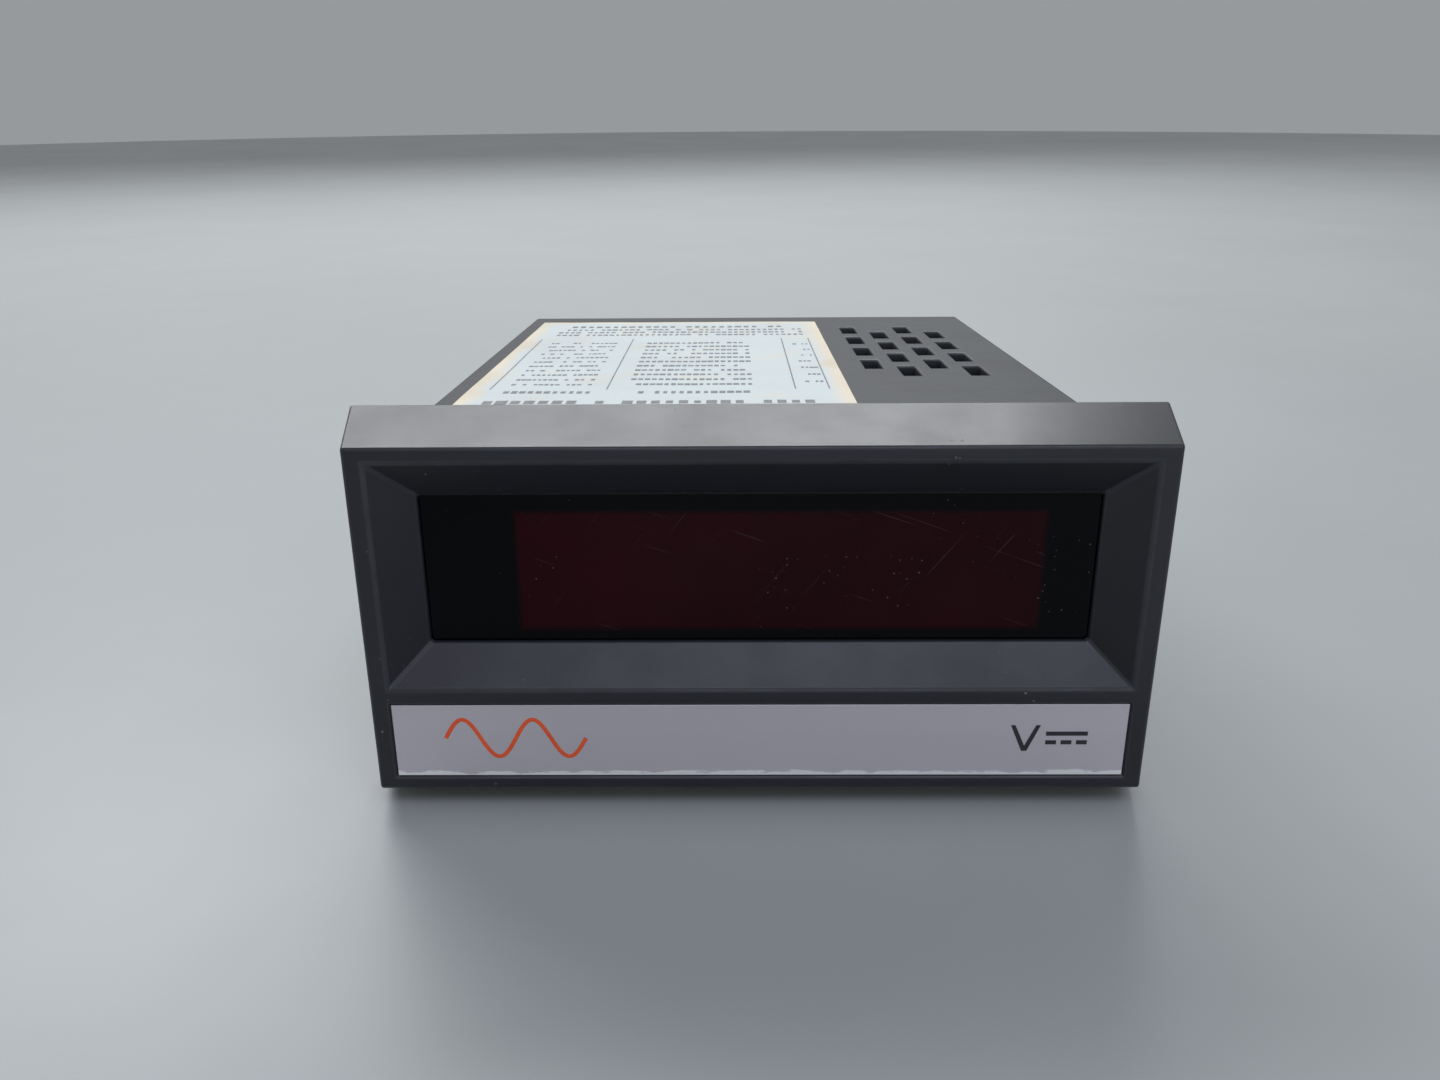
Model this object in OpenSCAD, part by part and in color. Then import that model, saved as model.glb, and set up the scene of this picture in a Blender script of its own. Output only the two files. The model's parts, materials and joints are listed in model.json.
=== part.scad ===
// Digital panel meter for DC volts: a moulded sleeve behind a flared front bezel, with the
// electronics on a chassis that slides out of the back.
// Frame: +Z is up and the front faces -Y. The origin is the centre of the panel cut-out, on
// the plane where the bezel seats against the panel.

/* [Case] */
// Width of the sleeve, for a cut-out 0.5 mm wider
case_w = 99.2; // [96:0.1:130]
// Height of the sleeve, for a cut-out 0.5 mm taller
case_h = 42.2; // [41:0.1:55]
// Length of the sleeve behind the panel
case_l = 116.8; // [114:0.1:160]
// Wall of the sleeve
case_wall = 2; // [1.5:0.1:2.5]
// Outside corner radius of the sleeve
case_r = 1; // [0.5:0.1:1.4]
// Stretch of the sleeve that plugs into the bezel
engage = 6; // [3:0.1:6.2]
// Depth that the board rails stand out from the side walls
rail_depth = 2; // [1:0.1:2.5]
// Thickness of one rail
rail_t = 1.5; // [1:0.1:2]

/* [Bezel] */
// Front face beyond each side of the sleeve
face_side = 2.4; // [1:0.1:6]
// Front face above the sleeve
face_top = 1.8; // [1:0.1:6]
// Front face below the sleeve
face_bottom = 4.2; // [1:0.1:8]
// Depth of the bezel from the panel to its front face
bezel_d = 13.2; // [12.6:0.1:18]
// How far each side flares out towards the panel
flare = 2.7; // [1:0.1:5]
// Rim beside the display recess and the nameplate
rim_side = 2.5; // [1.5:0.1:4]
// Rim above the recess and below the nameplate
rim_edge = 2; // [1.2:0.1:3]
// Bar between the display recess and the nameplate
divider = 2.3; // [1.5:0.1:4]
// Depth of the display recess
recess_d = 4.2; // [3:0.1:4.8]
// Width of the recess's sloping sides, seen from the front
bevel = 5.3; // [3:0.1:6.5]
// Wall of the front behind the nameplate
front_wall = 2.5; // [1.5:0.1:3]

/* [Display] */
// Thickness of the lip that holds the lens
lens_lip = 0.5; // [0.4:0.1:1]
// Thickness of the lens
lens_t = 1.6; // [1:0.1:2]
// Lens beyond each edge of its window
lens_overlap = 1.6; // [1:0.1:2]
// Thickness of the mask behind the lens
mask_t = 0.2; // [0.1:0.05:0.4]
// Width of the clear part of the mask
mask_w = 69.4; // [64:0.1:84]
// Height of the clear part of the mask
mask_h = 16.6; // [12:0.1:18]
// Clear part's centre, to the right of the middle
mask_x = 2.7; // [0:0.1:6]
// Height of the nameplate
plate_h = 10.7; // [8:0.1:12]
// Thickness of the nameplate
plate_t = 0.4; // [0.3:0.1:0.8]
// Width of one digit package
digit_w = 12.4; // [10:0.1:13]
// Height of one digit package
digit_h = 19; // [16:0.1:20]
// Depth of one digit package
digit_d = 8; // [6:0.1:9]
// Height of the lit figure
figure_h = 14.2; // [10:0.1:15]
// Number of full digits beside the sign digit
digit_count = 4; // [3:1:4]

/* [Vents] */
// Width of one vent slot
vent_w = 3.1; // [1.5:0.1:4]
// Length of one vent slot
vent_l = 9.2; // [5:0.1:11]
// Columns of slots
vent_cols = 4; // [1:1:5]
// Slots in a column
vent_rows = 4; // [1:1:4]
// Spacing of the columns
vent_pitch_x = 5.8; // [5:0.1:6.5]
// Spacing of the slots in a column
vent_pitch_y = 13.8; // [12.5:0.1:14.5]
// Last column's centre from the right side of the sleeve
vent_edge = 10.3; // [8:0.1:20]
// Front slot's centre behind the panel
vent_y = 47.3; // [40:0.1:52]

/* [Rating label] */
// Width of the label
label_w = 61.5; // [30:0.1:64]
// Length of the label
label_l = 100; // [40:0.1:100]
// Thickness of the label
label_t = 0.15; // [0.1:0.05:0.3]
// Label's left edge from the left side of the sleeve
label_edge = 3.6; // [2:0.1:8]
// Label's rear edge from the rear of the sleeve
label_back = 8.8; // [4:0.1:12]

/* [Circuit boards] */
// Thickness of both boards
board_t = 1.6; // [1:0.1:2]
// Room for soldered leads under the main board
solder_gap = 3.5; // [2.5:0.1:4]
// Half width of the display board
display_board_half_w = 40.2; // [38:0.1:40.4]

/* [Rear] */
// Thickness of the rear cover
cover_t = 2.5; // [1.5:0.1:3]
// Number of terminals
terminal_count = 6; // [3:1:6]
// Spacing of the terminals
terminal_pitch = 9.5; // [8.6:0.1:10]
// Thickness of the ribs between the terminals
terminal_rib = 1.8; // [1.2:0.1:2]
// How far the ribs stand out from the terminal face
rib_reach = 8; // [7.5:0.1:12]
// Height of the terminal block
block_h = 19; // [16:0.1:22]
// Radius of the screws' shanks
screw_r = 1.5; // [1.2:0.05:1.5]
// Radius of the screws' heads
head_r = 2.8; // [2.4:0.1:3]
// Height of the screws' heads
head_h = 2.4; // [1.5:0.1:2.4]
// Radius of the bosses that take the rear cover's screws
boss_r = 3.2; // [2.6:0.1:3.4]

/* [Adjusters] */
// Width of a trimmer's square body
trimmer_w = 9.5; // [7:0.1:9.5]
// Depth of a trimmer's body
trimmer_d = 5; // [4:0.1:6]
// Radius of a trimmer's rotor
rotor_r = 2; // [1.5:0.1:2.5]
// Columns of pins in the decimal-point header
header_cols = 5; // [3:1:5]

/* [Power supply] */
// Width of the transformer core
core_w = 34; // [30:0.1:34]
// Height of the transformer core
core_h = 28; // [24:0.1:28]
// Thickness of the core's stack of plates
core_t = 14; // [10:0.1:16]
// Diameter of the smoothing capacitors
can_d = 12.5; // [8:0.1:13]
// Height of the smoothing capacitors
can_h = 20; // [12:0.1:24]
// Diameter of the fuse's glass
fuse_d = 5; // [4:0.1:5]
// Length of the fuse
fuse_l = 20; // [18:0.1:20]

/* [Clearances] */
// Gap between pieces that slide past each other
slide_gap = 0.3; // [0.25:0.05:0.4]
// Radial gap of a shank or a rotor in its bore
turn_gap = 0.05; // [0.03:0.01:0.08]
// Gap round a glued piece
glue_gap = 0.1; // [0.05:0.05:0.15]

/* [Hidden] */
$fn = 48;
eps = 0.01;
pin_pitch = 2.54;

in_w = case_w - 2 * case_wall;
in_h = case_h - 2 * case_wall;

// Front face and what lies on it
face_w = case_w + 2 * face_side;
face_hi = case_h / 2 + face_top;
face_lo = -case_h / 2 - face_bottom;
front_y = -bezel_d;
plate_w = face_w - 2 * rim_side - 2 * glue_gap;
plate_lo = face_lo + rim_edge;
plate_hi = plate_lo + plate_h;
recess_w = face_w - 2 * rim_side;
recess_lo = plate_hi + divider;
recess_hi = face_hi - rim_edge;
window_w = recess_w - 2 * bevel;
window_lo = recess_lo + bevel;
window_hi = recess_hi - bevel;
window_mid = (window_lo + window_hi) / 2;
window_y = front_y + recess_d;

// Lens, mask and digits, one behind the other
lens_y = window_y + lens_lip;
lens_w = window_w + 2 * lens_overlap;
lens_lo = window_lo - lens_overlap;
lens_hi = window_hi + lens_overlap;
mask_y = lens_y + lens_t;
nose_y = mask_y;
digit_gap = 0.5;
digit_y = mask_y + mask_t + digit_gap;
digit_pitch = digit_w + 0.2;
digit_z = window_mid - 0.5;
segment_w = 1.5;
segment_depth = 0.4;
slant = tan(8);
figure_margin = 0.5;
figure_w = digit_w - segment_w - figure_h * slant - 2 * figure_margin;

// Display board and main board
display_y = digit_y + digit_d;
board_y0 = display_y + board_t + 0.2;
cover_y = case_l - cover_t - slide_gap;
board_y1 = cover_y - slide_gap;
board_z = -in_h / 2 + solder_gap + board_t;
board_half_w = in_w / 2 - slide_gap;
display_edge = 1.1;

// Adjusters under the digits
adjuster_z = -in_h / 2 + 1.2 + trimmer_w / 2;
trimmer_x = [15, 30];
rotor_depth = 3;
rotor_proud = 1;
header_x = -14;
header_z = -in_h / 2 + 3.2;
header_base_t = 2.5;
pin_side = 0.64;
pin_reach = 4;
shunt_w = 2.3;
shunt_h = 5;
shunt_l = 4.1;
shunt_col = 3;

// Rear cover, its screws and the terminal block
boss_x = in_w / 2 - 3.4;
boss_z = 2;
boss_l = 9.5;
boss_y1 = cover_y - slide_gap;
washer_t = 0.6;
washer_r = 3.4;
cover_face = cover_y + cover_t;
cover_screw_l = 10;
block_w = terminal_count * terminal_pitch + terminal_rib;
block_y0 = board_y1 - 10.7;
block_face = cover_face + 2.5;
block_y1 = block_face + rib_reach;
block_z1 = board_z + block_h;
terminal_z = board_z + block_h / 2;
tab_t = 0.8;
tab_w = terminal_pitch - terminal_rib - 0.5;
tab_h = 12;
clamp_side = 6.8;
clamp_t = 0.9;
clamp_y = block_face + tab_t + slide_gap;
terminal_screw_l = 9;
bracket_x = 38;
bracket_w = 8;
bracket_l = 8;
bracket_h = 10;
bracket_t = 1.2;
small_screw_r = 1.25;
small_head_r = 2.3;
small_head_h = 1.6;

// Transformer, heat sink, fuse clips and chip socket
core_lift = 2.2;
core_frame = core_w * 0.16;
core_window_x = (core_w - 4 * core_frame) / 2;
coil_half_w = core_frame + core_window_x - 0.3;
coil_half_d = core_t / 2 + 5.3;
window_z0 = core_lift + core_frame;
window_z1 = core_lift + core_h - core_frame;
sink_w = 20;
sink_d = 10;
sink_h = 20;
sink_t = 1.4;
tab_hole_z = 15.6;
tab_plate_t = 1.3;
sink_inner_y = -sink_d / 2 + sink_t;
clip_x = fuse_l / 2 - 2.9;
clip_t = 0.5;
clip_half = fuse_d / 2 + 0.2 + slide_gap;
fuse_z = clip_t + clip_half;
socket_h_dip = 4.2;

// Places on the main board: x from the middle, y behind the panel
transformer_at = [23, 76];
can_places = [[14, 42], [28, 42]];
sink_at = [30, 56.5];
fuse_at = [23, 97];
adc_at = [-22, 42];
driver_at = [20, 28];
network_at = [20, 16];
amplifier_at = [-33, 90];
crystal_at = [-6, 25];
reference_at = [-38, 42];
film_places = [[-37, 58], [-37, 74], [-28, 74]];
disc_places = [[-10, 34], [-10, 42], [-10, 50], [-38, 32], [-40, 50]];
diode_places = [for (i = [0 : 3]) [-1, 58 + 4 * i]];
resistor_places = concat(
    [for (i = [0 : 4]) [0, 33 + 4.5 * i]],
    [for (i = [0 : 1]) [-14, 65 + 4.5 * i]],
    [for (i = [0 : 2]) [-38, 14 + 4.5 * i]]);
range_resistor_places = [for (i = [0 : 2]) [-14, 78 + 7 * i]];
transistor_places = [for (i = [0 : 4]) [-28 + 8 * i, 15]];
link_pins = 20;
link_y = board_y0 + 4;

// ---- Shared shapes ----

// A box between two corners
module box(lo, hi) {
    translate(lo) cube(hi - lo);
}

// A box that stands on z = 0, centred on x and y
module standing_box(size) {
    translate([-size.x / 2, -size.y / 2, 0]) cube(size);
}

// A rod along +Y between two places
module rod_y(r, y0, y1) {
    translate([0, y0, 0]) rotate([-90, 0, 0]) cylinder(h = y1 - y0, r = r);
}

// A rectangle with true round corners
module round_rect(w, h, r) {
    square([w - 2 * r, h], center = true);
    square([w, h - 2 * r], center = true);
    for (x = [-1, 1], z = [-1, 1])
        translate([x * (w / 2 - r), z * (h / 2 - r)]) circle(r);
}

// A tapered block: the rectangle lo..hi in x and z at y = 0 grows on every side by
// grow at y = depth
module tapered_block(lo, hi, grow, depth) {
    spare = abs(grow) + 1;
    intersection() {
        translate([0, 0, lo.y - spare])
            linear_extrude(hi.y - lo.y + 2 * spare)
                polygon([[lo.x, 0], [hi.x, 0], [hi.x + grow, depth], [lo.x - grow, depth]]);
        translate([lo.x - spare, 0, 0])
            rotate([90, 0, 90])
                linear_extrude(hi.x - lo.x + 2 * spare)
                    polygon([[0, lo.y], [0, hi.y], [depth, hi.y + grow], [depth, lo.y - grow]]);
    }
}

// Stand children on the main board at a place
module on_board(at) {
    translate([at.x, at.y, board_z]) children();
}

// Corner between two rods at right angles
module elbow(r) {
    sphere(r);
}

// A part with a lead at each end, lying along x and bent down to z = 0
module axial(body_l, body_d, reach, lead_r, lift) {
    translate([-body_l / 2, 0, lift]) rotate([0, 90, 0]) cylinder(h = body_l, d = body_d);
    translate([-reach / 2, 0, lift]) rotate([0, 90, 0]) cylinder(h = reach, r = lead_r, $fn = 16);
    for (s = [-1, 1]) translate([s * reach / 2, 0, 0]) {
        cylinder(h = lift, r = lead_r, $fn = 16);
        translate([0, 0, lift]) elbow(lead_r, $fn = 16);
    }
}

// A dual-in-line package with its length along y: its body starts at lift, and its legs
// reach down to z = 0
module dual_in_line(pins, row, lift) {
    rows = pins / 2;
    body_w = row - 1.2;
    body_l = rows * pin_pitch + 1.2;
    leg_t = 0.3;
    leg_w = 0.5;
    shoulder = lift + 1.6;
    outer = row / 2 + leg_t / 2;
    inner = row / 2 - leg_t / 2;
    translate([0, 0, lift]) difference() {
        standing_box([body_w, body_l, 3.4]);
        translate([0, -body_l / 2, 2.6]) cylinder(h = 1, r = 1);
    }
    for (i = [0 : rows - 1])
        translate([0, (i - (rows - 1) / 2) * pin_pitch + leg_w / 2, 0])
            rotate([90, 0, 0])
                linear_extrude(leg_w)
                    polygon([[-outer, 0], [-outer, shoulder + leg_t], [outer, shoulder + leg_t],
                             [outer, 0], [inner, 0], [inner, shoulder], [-inner, shoulder],
                             [-inner, 0]]);
}

// A slotted pan-head screw along +Y: its head starts at y = 0 and its shank runs forward
module slotted_screw(shank_r, cap_r, cap_h, shank_l) {
    slot_w = 0.8;
    difference() {
        union() {
            rod_y(shank_r, -shank_l, eps);
            rod_y(cap_r, 0, cap_h);
        }
        box([-slot_w / 2, cap_h * 0.55, -cap_r - 1], [slot_w / 2, cap_h + 1, cap_r + 1]);
    }
}

// ---- Case ----

module sleeve_tube() {
    difference() {
        translate([0, -engage, 0]) rotate([-90, 0, 0])
            linear_extrude(case_l + engage) round_rect(case_w, case_h, case_r);
        box([-in_w / 2, -engage - 1, -in_h / 2], [in_w / 2, case_l + 1, in_h / 2]);
    }
}

// Ribs above and below the main board on both side walls
module board_rails() {
    rail_y0 = board_y0 + 0.4;
    rail_y1 = board_y1 - 1.5;
    under = board_z - board_t - slide_gap;
    over = board_z + slide_gap;
    for (s = [0, 1]) mirror([s, 0, 0]) {
        box([in_w / 2 - rail_depth, rail_y0, under - rail_t], [in_w / 2 + eps, rail_y1, under]);
        box([in_w / 2 - rail_depth, rail_y0, over], [in_w / 2 + eps, rail_y1, over + rail_t]);
    }
}

// Bosses on the side walls that take the rear cover's screws
module screw_bosses() {
    for (s = [0, 1]) mirror([s, 0, 0]) translate([0, 0, boss_z]) {
        translate([boss_x, 0, 0]) rod_y(boss_r, boss_y1 - boss_l, boss_y1);
        box([boss_x, boss_y1 - boss_l, -boss_r], [in_w / 2 + eps, boss_y1, boss_r]);
    }
}

// Slots in staggered columns through the top wall
module vent_slots() {
    for (c = [0 : vent_cols - 1], r = [0 : vent_rows - 1]) {
        x = case_w / 2 - vent_edge - (vent_cols - 1 - c) * vent_pitch_x;
        y = vent_y + r * vent_pitch_y + (c % 2 == 0 ? vent_pitch_y / 2 : 0);
        box([x - vent_w / 2, y - vent_l / 2, case_h / 2 - case_wall - 1],
            [x + vent_w / 2, y + vent_l / 2, case_h / 2 + 1]);
    }
}

module case_sleeve() {
    color("#55585b") difference() {
        union() {
            sleeve_tube();
            board_rails();
            screw_bosses();
        }
        vent_slots();
        for (s = [-1, 1]) translate([s * boss_x, 0, boss_z])
            rod_y(screw_r + turn_gap, boss_y1 - boss_l + 1, boss_y1 + 1);
    }
}

module rating_label() {
    x0 = -case_w / 2 + label_edge;
    y1 = case_l - label_back;
    color("#e9e3cf")
        box([x0, y1 - label_l, case_h / 2], [x0 + label_w, y1, case_h / 2 + label_t]);
}

// ---- Front bezel ----

// The sloping display recess, cut slightly past the front face
module display_recess() {
    spare = eps * bevel / recess_d;
    translate([0, front_y - eps, 0])
        tapered_block([-recess_w / 2 - spare, recess_lo - spare],
                      [recess_w / 2 + spare, recess_hi + spare],
                      -bevel - spare, recess_d + eps);
    box([-window_w / 2, window_y - eps, window_lo], [window_w / 2, lens_y + 1, window_hi]);
}

module bezel() {
    socket_w = case_w / 2 + slide_gap;
    socket_h = case_h / 2 + slide_gap;
    color("#26262a") difference() {
        translate([0, front_y, 0])
            tapered_block([-face_w / 2, face_lo], [face_w / 2, face_hi], flare, bezel_d);
        display_recess();
        box([-recess_w / 2, front_y - 1, plate_lo - glue_gap],
            [recess_w / 2, front_y + plate_t + 0.2, plate_hi + glue_gap]);
        box([-lens_w / 2 - glue_gap, lens_y, lens_lo - glue_gap],
            [lens_w / 2 + glue_gap, nose_y + 1, lens_hi + glue_gap]);
        box([-in_w / 2, nose_y, -in_h / 2], [in_w / 2, 1, in_h / 2]);
        box([-in_w / 2, front_y + front_wall, -in_h / 2], [in_w / 2, 1, plate_hi]);
        box([-socket_w, -engage - slide_gap, -socket_h], [socket_w, 1, socket_h]);
    }
}

module lens() {
    color("#2a0a10", 0.7)
        box([-lens_w / 2, lens_y, lens_lo],
            [lens_w / 2, lens_y + lens_t, lens_hi]);
}

module display_mask() {
    color("#050506") difference() {
        box([-lens_w / 2, mask_y, lens_lo],
            [lens_w / 2, mask_y + mask_t, lens_hi]);
        box([mask_x - mask_w / 2, mask_y - 1, digit_z - mask_h / 2],
            [mask_x + mask_w / 2, mask_y + 1, digit_z + mask_h / 2]);
    }
}

module nameplate() {
    color("#aaa8ae")
        box([-plate_w / 2, front_y + 0.2, plate_lo], [plate_w / 2, front_y + 0.2 + plate_t, plate_hi]);
}

// ---- Boards ----

module main_board() {
    color("#2f6b45") difference() {
        box([-board_half_w, board_y0, board_z - board_t], [board_half_w, board_y1, board_z]);
        for (s = [-1, 1])
            translate([s * bracket_x, board_y1 - bracket_l / 2, board_z - board_t - 1])
                cylinder(h = board_t + 2, r = small_screw_r + turn_gap);
    }
}

module display_board() {
    color("#2f6b45")
        box([-display_board_half_w, display_y, -in_h / 2 + display_edge],
            [display_board_half_w, display_y + board_t, in_h / 2 - display_edge]);
}

// Right-angle pins from the display board's back down to the main board
module board_link_pins() {
    lift = 2.5;
    y0 = display_y + board_t;
    color("#c9c3a5") for (i = [0 : link_pins - 1])
        translate([(i - (link_pins - 1) / 2) * pin_pitch - pin_side / 2, 0, board_z]) {
            box([0, y0, lift], [pin_side, link_y + pin_side, lift + pin_side]);
            box([0, link_y, 0], [pin_side, link_y + pin_side, lift + eps]);
        }
}

// ---- Digits ----

function lean(p) = [p.x + p.y * slant, p.y];

// Six points of a bar with pointed ends between two places
function bar_points(a, b, w) =
    let (d = (b - a) / norm(b - a) * w / 2, n = [-d.y, d.x])
    [a, a + d + n, b - d + n, b, b - d - n, a + d - n];

function digit_x(i) = mask_x + (i - digit_count / 2) * digit_pitch;

// Ends of the seven bars of a figure, from the top one clockwise and the middle one last
function figure_bars() =
    let (x = figure_w / 2, z = figure_h / 2 - segment_w / 2, g = 0.25)
    [[[-x + g, z], [x - g, z]], [[x, z - g], [x, g]], [[x, -g], [x, -z + g]],
     [[x - g, -z], [-x + g, -z]], [[-x, -z + g], [-x, -g]], [[-x, g], [-x, z - g]],
     [[-x + g, 0], [x - g, 0]]];

// Ends of the bars of the sign digit: a plus sign and a one
function sign_bars() =
    let (z = figure_h / 2 - segment_w / 2, x = figure_w / 2, g = 0.25, mid = -0.14 * figure_h,
         near = segment_w / 2 + g, reach = near + 2.4)
    [[[mid - 2.6, 0], [mid + 2.6, 0]], [[mid, reach], [mid, near]], [[mid, -near], [mid, -reach]],
     [[x, z], [x, g]], [[x, -g], [x, -z]]];

// Bars of a figure as solids of a given depth on the digits' front plane
module figure_solids(bars, depth) {
    translate([0, digit_y, digit_z]) rotate([90, 0, 0]) translate([0, 0, -depth])
        linear_extrude(depth)
            for (b = bars) polygon([for (p = bar_points(b[0], b[1], segment_w)) lean(p)]);
}

module digit_package() {
    box([-digit_w / 2, digit_y, digit_z - digit_h / 2], [digit_w / 2, display_y, digit_z + digit_h / 2]);
}

module sign_digit() {
    color("#1b1a1c") translate([digit_x(0), 0, 0]) difference() {
        digit_package();
        translate([0, -eps, 0]) figure_solids(sign_bars(), segment_depth + eps);
    }
}

module full_digits() {
    color("#1b1a1c") for (i = [1 : digit_count]) translate([digit_x(i), 0, 0]) difference() {
        digit_package();
        translate([0, -eps, 0]) figure_solids(figure_bars(), segment_depth + eps);
    }
}

module digit_segments() {
    color("#b98f8c") {
        translate([digit_x(0), 0, 0]) figure_solids(sign_bars(), segment_depth);
        for (i = [1 : digit_count])
            translate([digit_x(i), 0, 0]) figure_solids(figure_bars(), segment_depth);
    }
}

// ---- Small parts on the main board ----

module adc_socket() {
    color("#202022") on_board(adc_at) difference() {
        standing_box([17.6, 14 * pin_pitch, socket_h_dip]);
        translate([0, 0, -1]) standing_box([9.4, 14 * pin_pitch - 5, socket_h_dip + 2]);
    }
}

module adc_chip() {
    color("#1c1c1e") on_board(adc_at) translate([0, 0, socket_h_dip]) dual_in_line(28, 15.24, 0.6);
}

// The display driver and the input amplifier
module small_chips() {
    color("#1c1c1e") {
        on_board(driver_at) rotate([0, 0, 90]) dual_in_line(16, 7.62, 0.8);
        on_board(amplifier_at) dual_in_line(8, 7.62, 0.8);
    }
}

module resistor_network() {
    color("#3b3f74") on_board(network_at) rotate([0, 0, 90]) dual_in_line(16, 7.62, 0.8);
}

// Plastic transistors with one flat side on three legs
module digit_transistors() {
    lift = 2.5;
    color("#1c1c1e") for (at = transistor_places) on_board(at) {
        translate([0, 0, lift]) intersection() {
            cylinder(h = 4.8, r = 2.4);
            translate([-3, -1.4, -1]) cube([6, 6, 7]);
        }
        for (i = [-1 : 1]) translate([i * 1.27, 0, 0]) standing_box([0.45, 0.45, lift + eps]);
    }
}

// Oval metal can on a wider foot
module crystal() {
    can_w = 10.2;
    can_t = 3.8;
    foot = 0.5;
    color("#b9b8b2") on_board(crystal_at) {
        translate([0, 0, 0.4]) linear_extrude(0.6)
            round_rect(can_w + 2 * foot, can_t + 2 * foot, can_t / 2 + foot - eps);
        translate([0, 0, 0.4]) linear_extrude(12.6) round_rect(can_w, can_t, can_t / 2 - eps);
        for (s = [-1, 1]) translate([s * 2.44, 0, 0]) cylinder(h = 0.5, r = 0.25, $fn = 16);
    }
}

// Round metal can with a foot ring
module voltage_reference() {
    lift = 2;
    color("#c4a65a") on_board(reference_at) {
        translate([0, 0, lift]) {
            cylinder(h = 0.5, r = 2.75);
            cylinder(h = 4.6, r = 2.35);
        }
        for (a = [0, 90, 180]) rotate([0, 0, a]) translate([1.27, 0, 0])
            cylinder(h = lift + eps, r = 0.23, $fn = 16);
    }
}

module film_capacitors() {
    color("#c9a23a") for (at = film_places) on_board(at) {
        translate([0, 0, 0.4]) standing_box([5.5, 13, 11]);
        for (s = [-1, 1]) translate([0, s * 5, 0]) cylinder(h = 0.5, r = 0.35, $fn = 16);
    }
}

// Thin ceramic discs that stand on edge
module disc_capacitors() {
    disc_r = 3;
    color("#b8763a") for (at = disc_places) on_board(at) {
        translate([0, 0, disc_r + 1.5]) rod_y(disc_r, -1, 1);
        for (s = [-1, 1]) translate([s * 2.2, 0, 0]) cylinder(h = 3.5, r = 0.3, $fn = 16);
    }
}

module resistors() {
    color("#c8a878") for (at = resistor_places) on_board(at) axial(6.3, 2.3, 10.16, 0.3, 1.4);
}

module range_resistors() {
    color("#5b86a8") for (at = range_resistor_places) on_board(at) axial(10, 3.6, 15.24, 0.4, 2.1);
}

// ---- Power supply ----

// Stack of plates with two windows beside its middle leg
module transformer_core() {
    color("#6b655c") on_board(transformer_at) difference() {
        translate([0, 0, core_lift]) standing_box([core_w, core_t, core_h]);
        for (s = [0, 1]) mirror([s, 0, 0])
            box([core_frame, -core_t, window_z0], [core_frame + core_window_x, core_t, window_z1]);
    }
}

// Flanges, the tube round the middle leg and the feet on both sides of the core
module transformer_bobbin() {
    wall = 0.6;
    gap = 0.15;
    flange_t = 1.1;
    half_d = coil_half_d + 0.5;
    leg_x = core_frame + gap;
    leg_y = core_t / 2 + gap;
    color("#d8d2c0") on_board(transformer_at) difference() {
        union() {
            for (z = [window_z0 + gap, window_z1 - gap - flange_t]) translate([0, 0, z])
                standing_box([2 * coil_half_w, 2 * half_d, flange_t]);
            translate([0, 0, window_z0 + gap])
                standing_box([2 * (leg_x + wall), 2 * (leg_y + wall), window_z1 - window_z0 - 2 * gap]);
            for (s = [0, 1]) mirror([0, s, 0])
                box([-coil_half_w, leg_y, 0], [coil_half_w, half_d, window_z0 + gap + eps]);
        }
        translate([0, 0, -1]) standing_box([2 * leg_x, 2 * leg_y, core_h + 5]);
    }
}

module transformer_winding() {
    wall = 0.6;
    gap = 0.15;
    flange_t = 1.1;
    leg_x = core_frame + gap + wall;
    leg_y = core_t / 2 + gap + wall;
    z0 = window_z0 + gap + flange_t;
    color("#c8b23c") on_board(transformer_at) translate([0, 0, z0]) difference() {
        linear_extrude(window_z1 - gap - flange_t - z0)
            round_rect(2 * coil_half_w - 0.4, 2 * coil_half_d, 2.2);
        translate([0, 0, -1]) standing_box([2 * leg_x, 2 * leg_y, core_h]);
    }
}

module rectifier_diodes() {
    color("#242426") for (at = diode_places) on_board(at) axial(5.2, 2.7, 11, 0.4, 1.6);
}

// Cans with a crimp groove near the foot
module smoothing_capacitors() {
    r = can_d / 2;
    color("#2d3f6e") for (at = can_places) on_board(at)
        rotate_extrude()
            polygon([[0, 0.2], [r - 0.6, 0.2], [r, 0.8], [r, 2.6], [r - 0.6, 3.1], [r, 3.6],
                     [r, can_h - 0.8], [r - 0.8, can_h], [r - 1.6, can_h - 0.3], [0, can_h - 0.3]]);
}

// Channel with its open side to the rear
module heat_sink() {
    color("#9a9da0") on_board(sink_at) difference() {
        standing_box([sink_w, sink_d, sink_h]);
        box([-sink_w / 2 + sink_t, -sink_d / 2 + sink_t, -1], [sink_w / 2 - sink_t, sink_d, sink_h + 1]);
        translate([0, 0, tab_hole_z]) rod_y(small_screw_r + turn_gap, -sink_d, sink_d);
    }
}

// Package with a drilled metal tab against the heat sink
module regulator() {
    back = sink_inner_y;
    color("#3a3a3c") on_board(sink_at) difference() {
        union() {
            box([-5, back, 3.5], [5, back + tab_plate_t, 18.6]);
            box([-5, back + tab_plate_t - eps, 3.5], [5, back + 4.4, 12]);
            for (i = [-1 : 1]) translate([i * pin_pitch - 0.4, back + 2, 0]) cube([0.8, 0.5, 4]);
        }
        translate([0, 0, tab_hole_z]) rod_y(small_screw_r + turn_gap, -sink_d, sink_d);
    }
}

// Two sprung clips that hold the fuse's end caps
module fuse_clips() {
    color("#c9c3a5") for (s = [-1, 1]) on_board(fuse_at) translate([s * clip_x - 2, 0, 0]) {
        box([0, -clip_half - clip_t, 0], [4, clip_half + clip_t, clip_t]);
        for (m = [0, 1]) mirror([0, m, 0])
            box([0, clip_half, 0], [4, clip_half + clip_t, fuse_z + 2.2]);
    }
}

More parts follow.
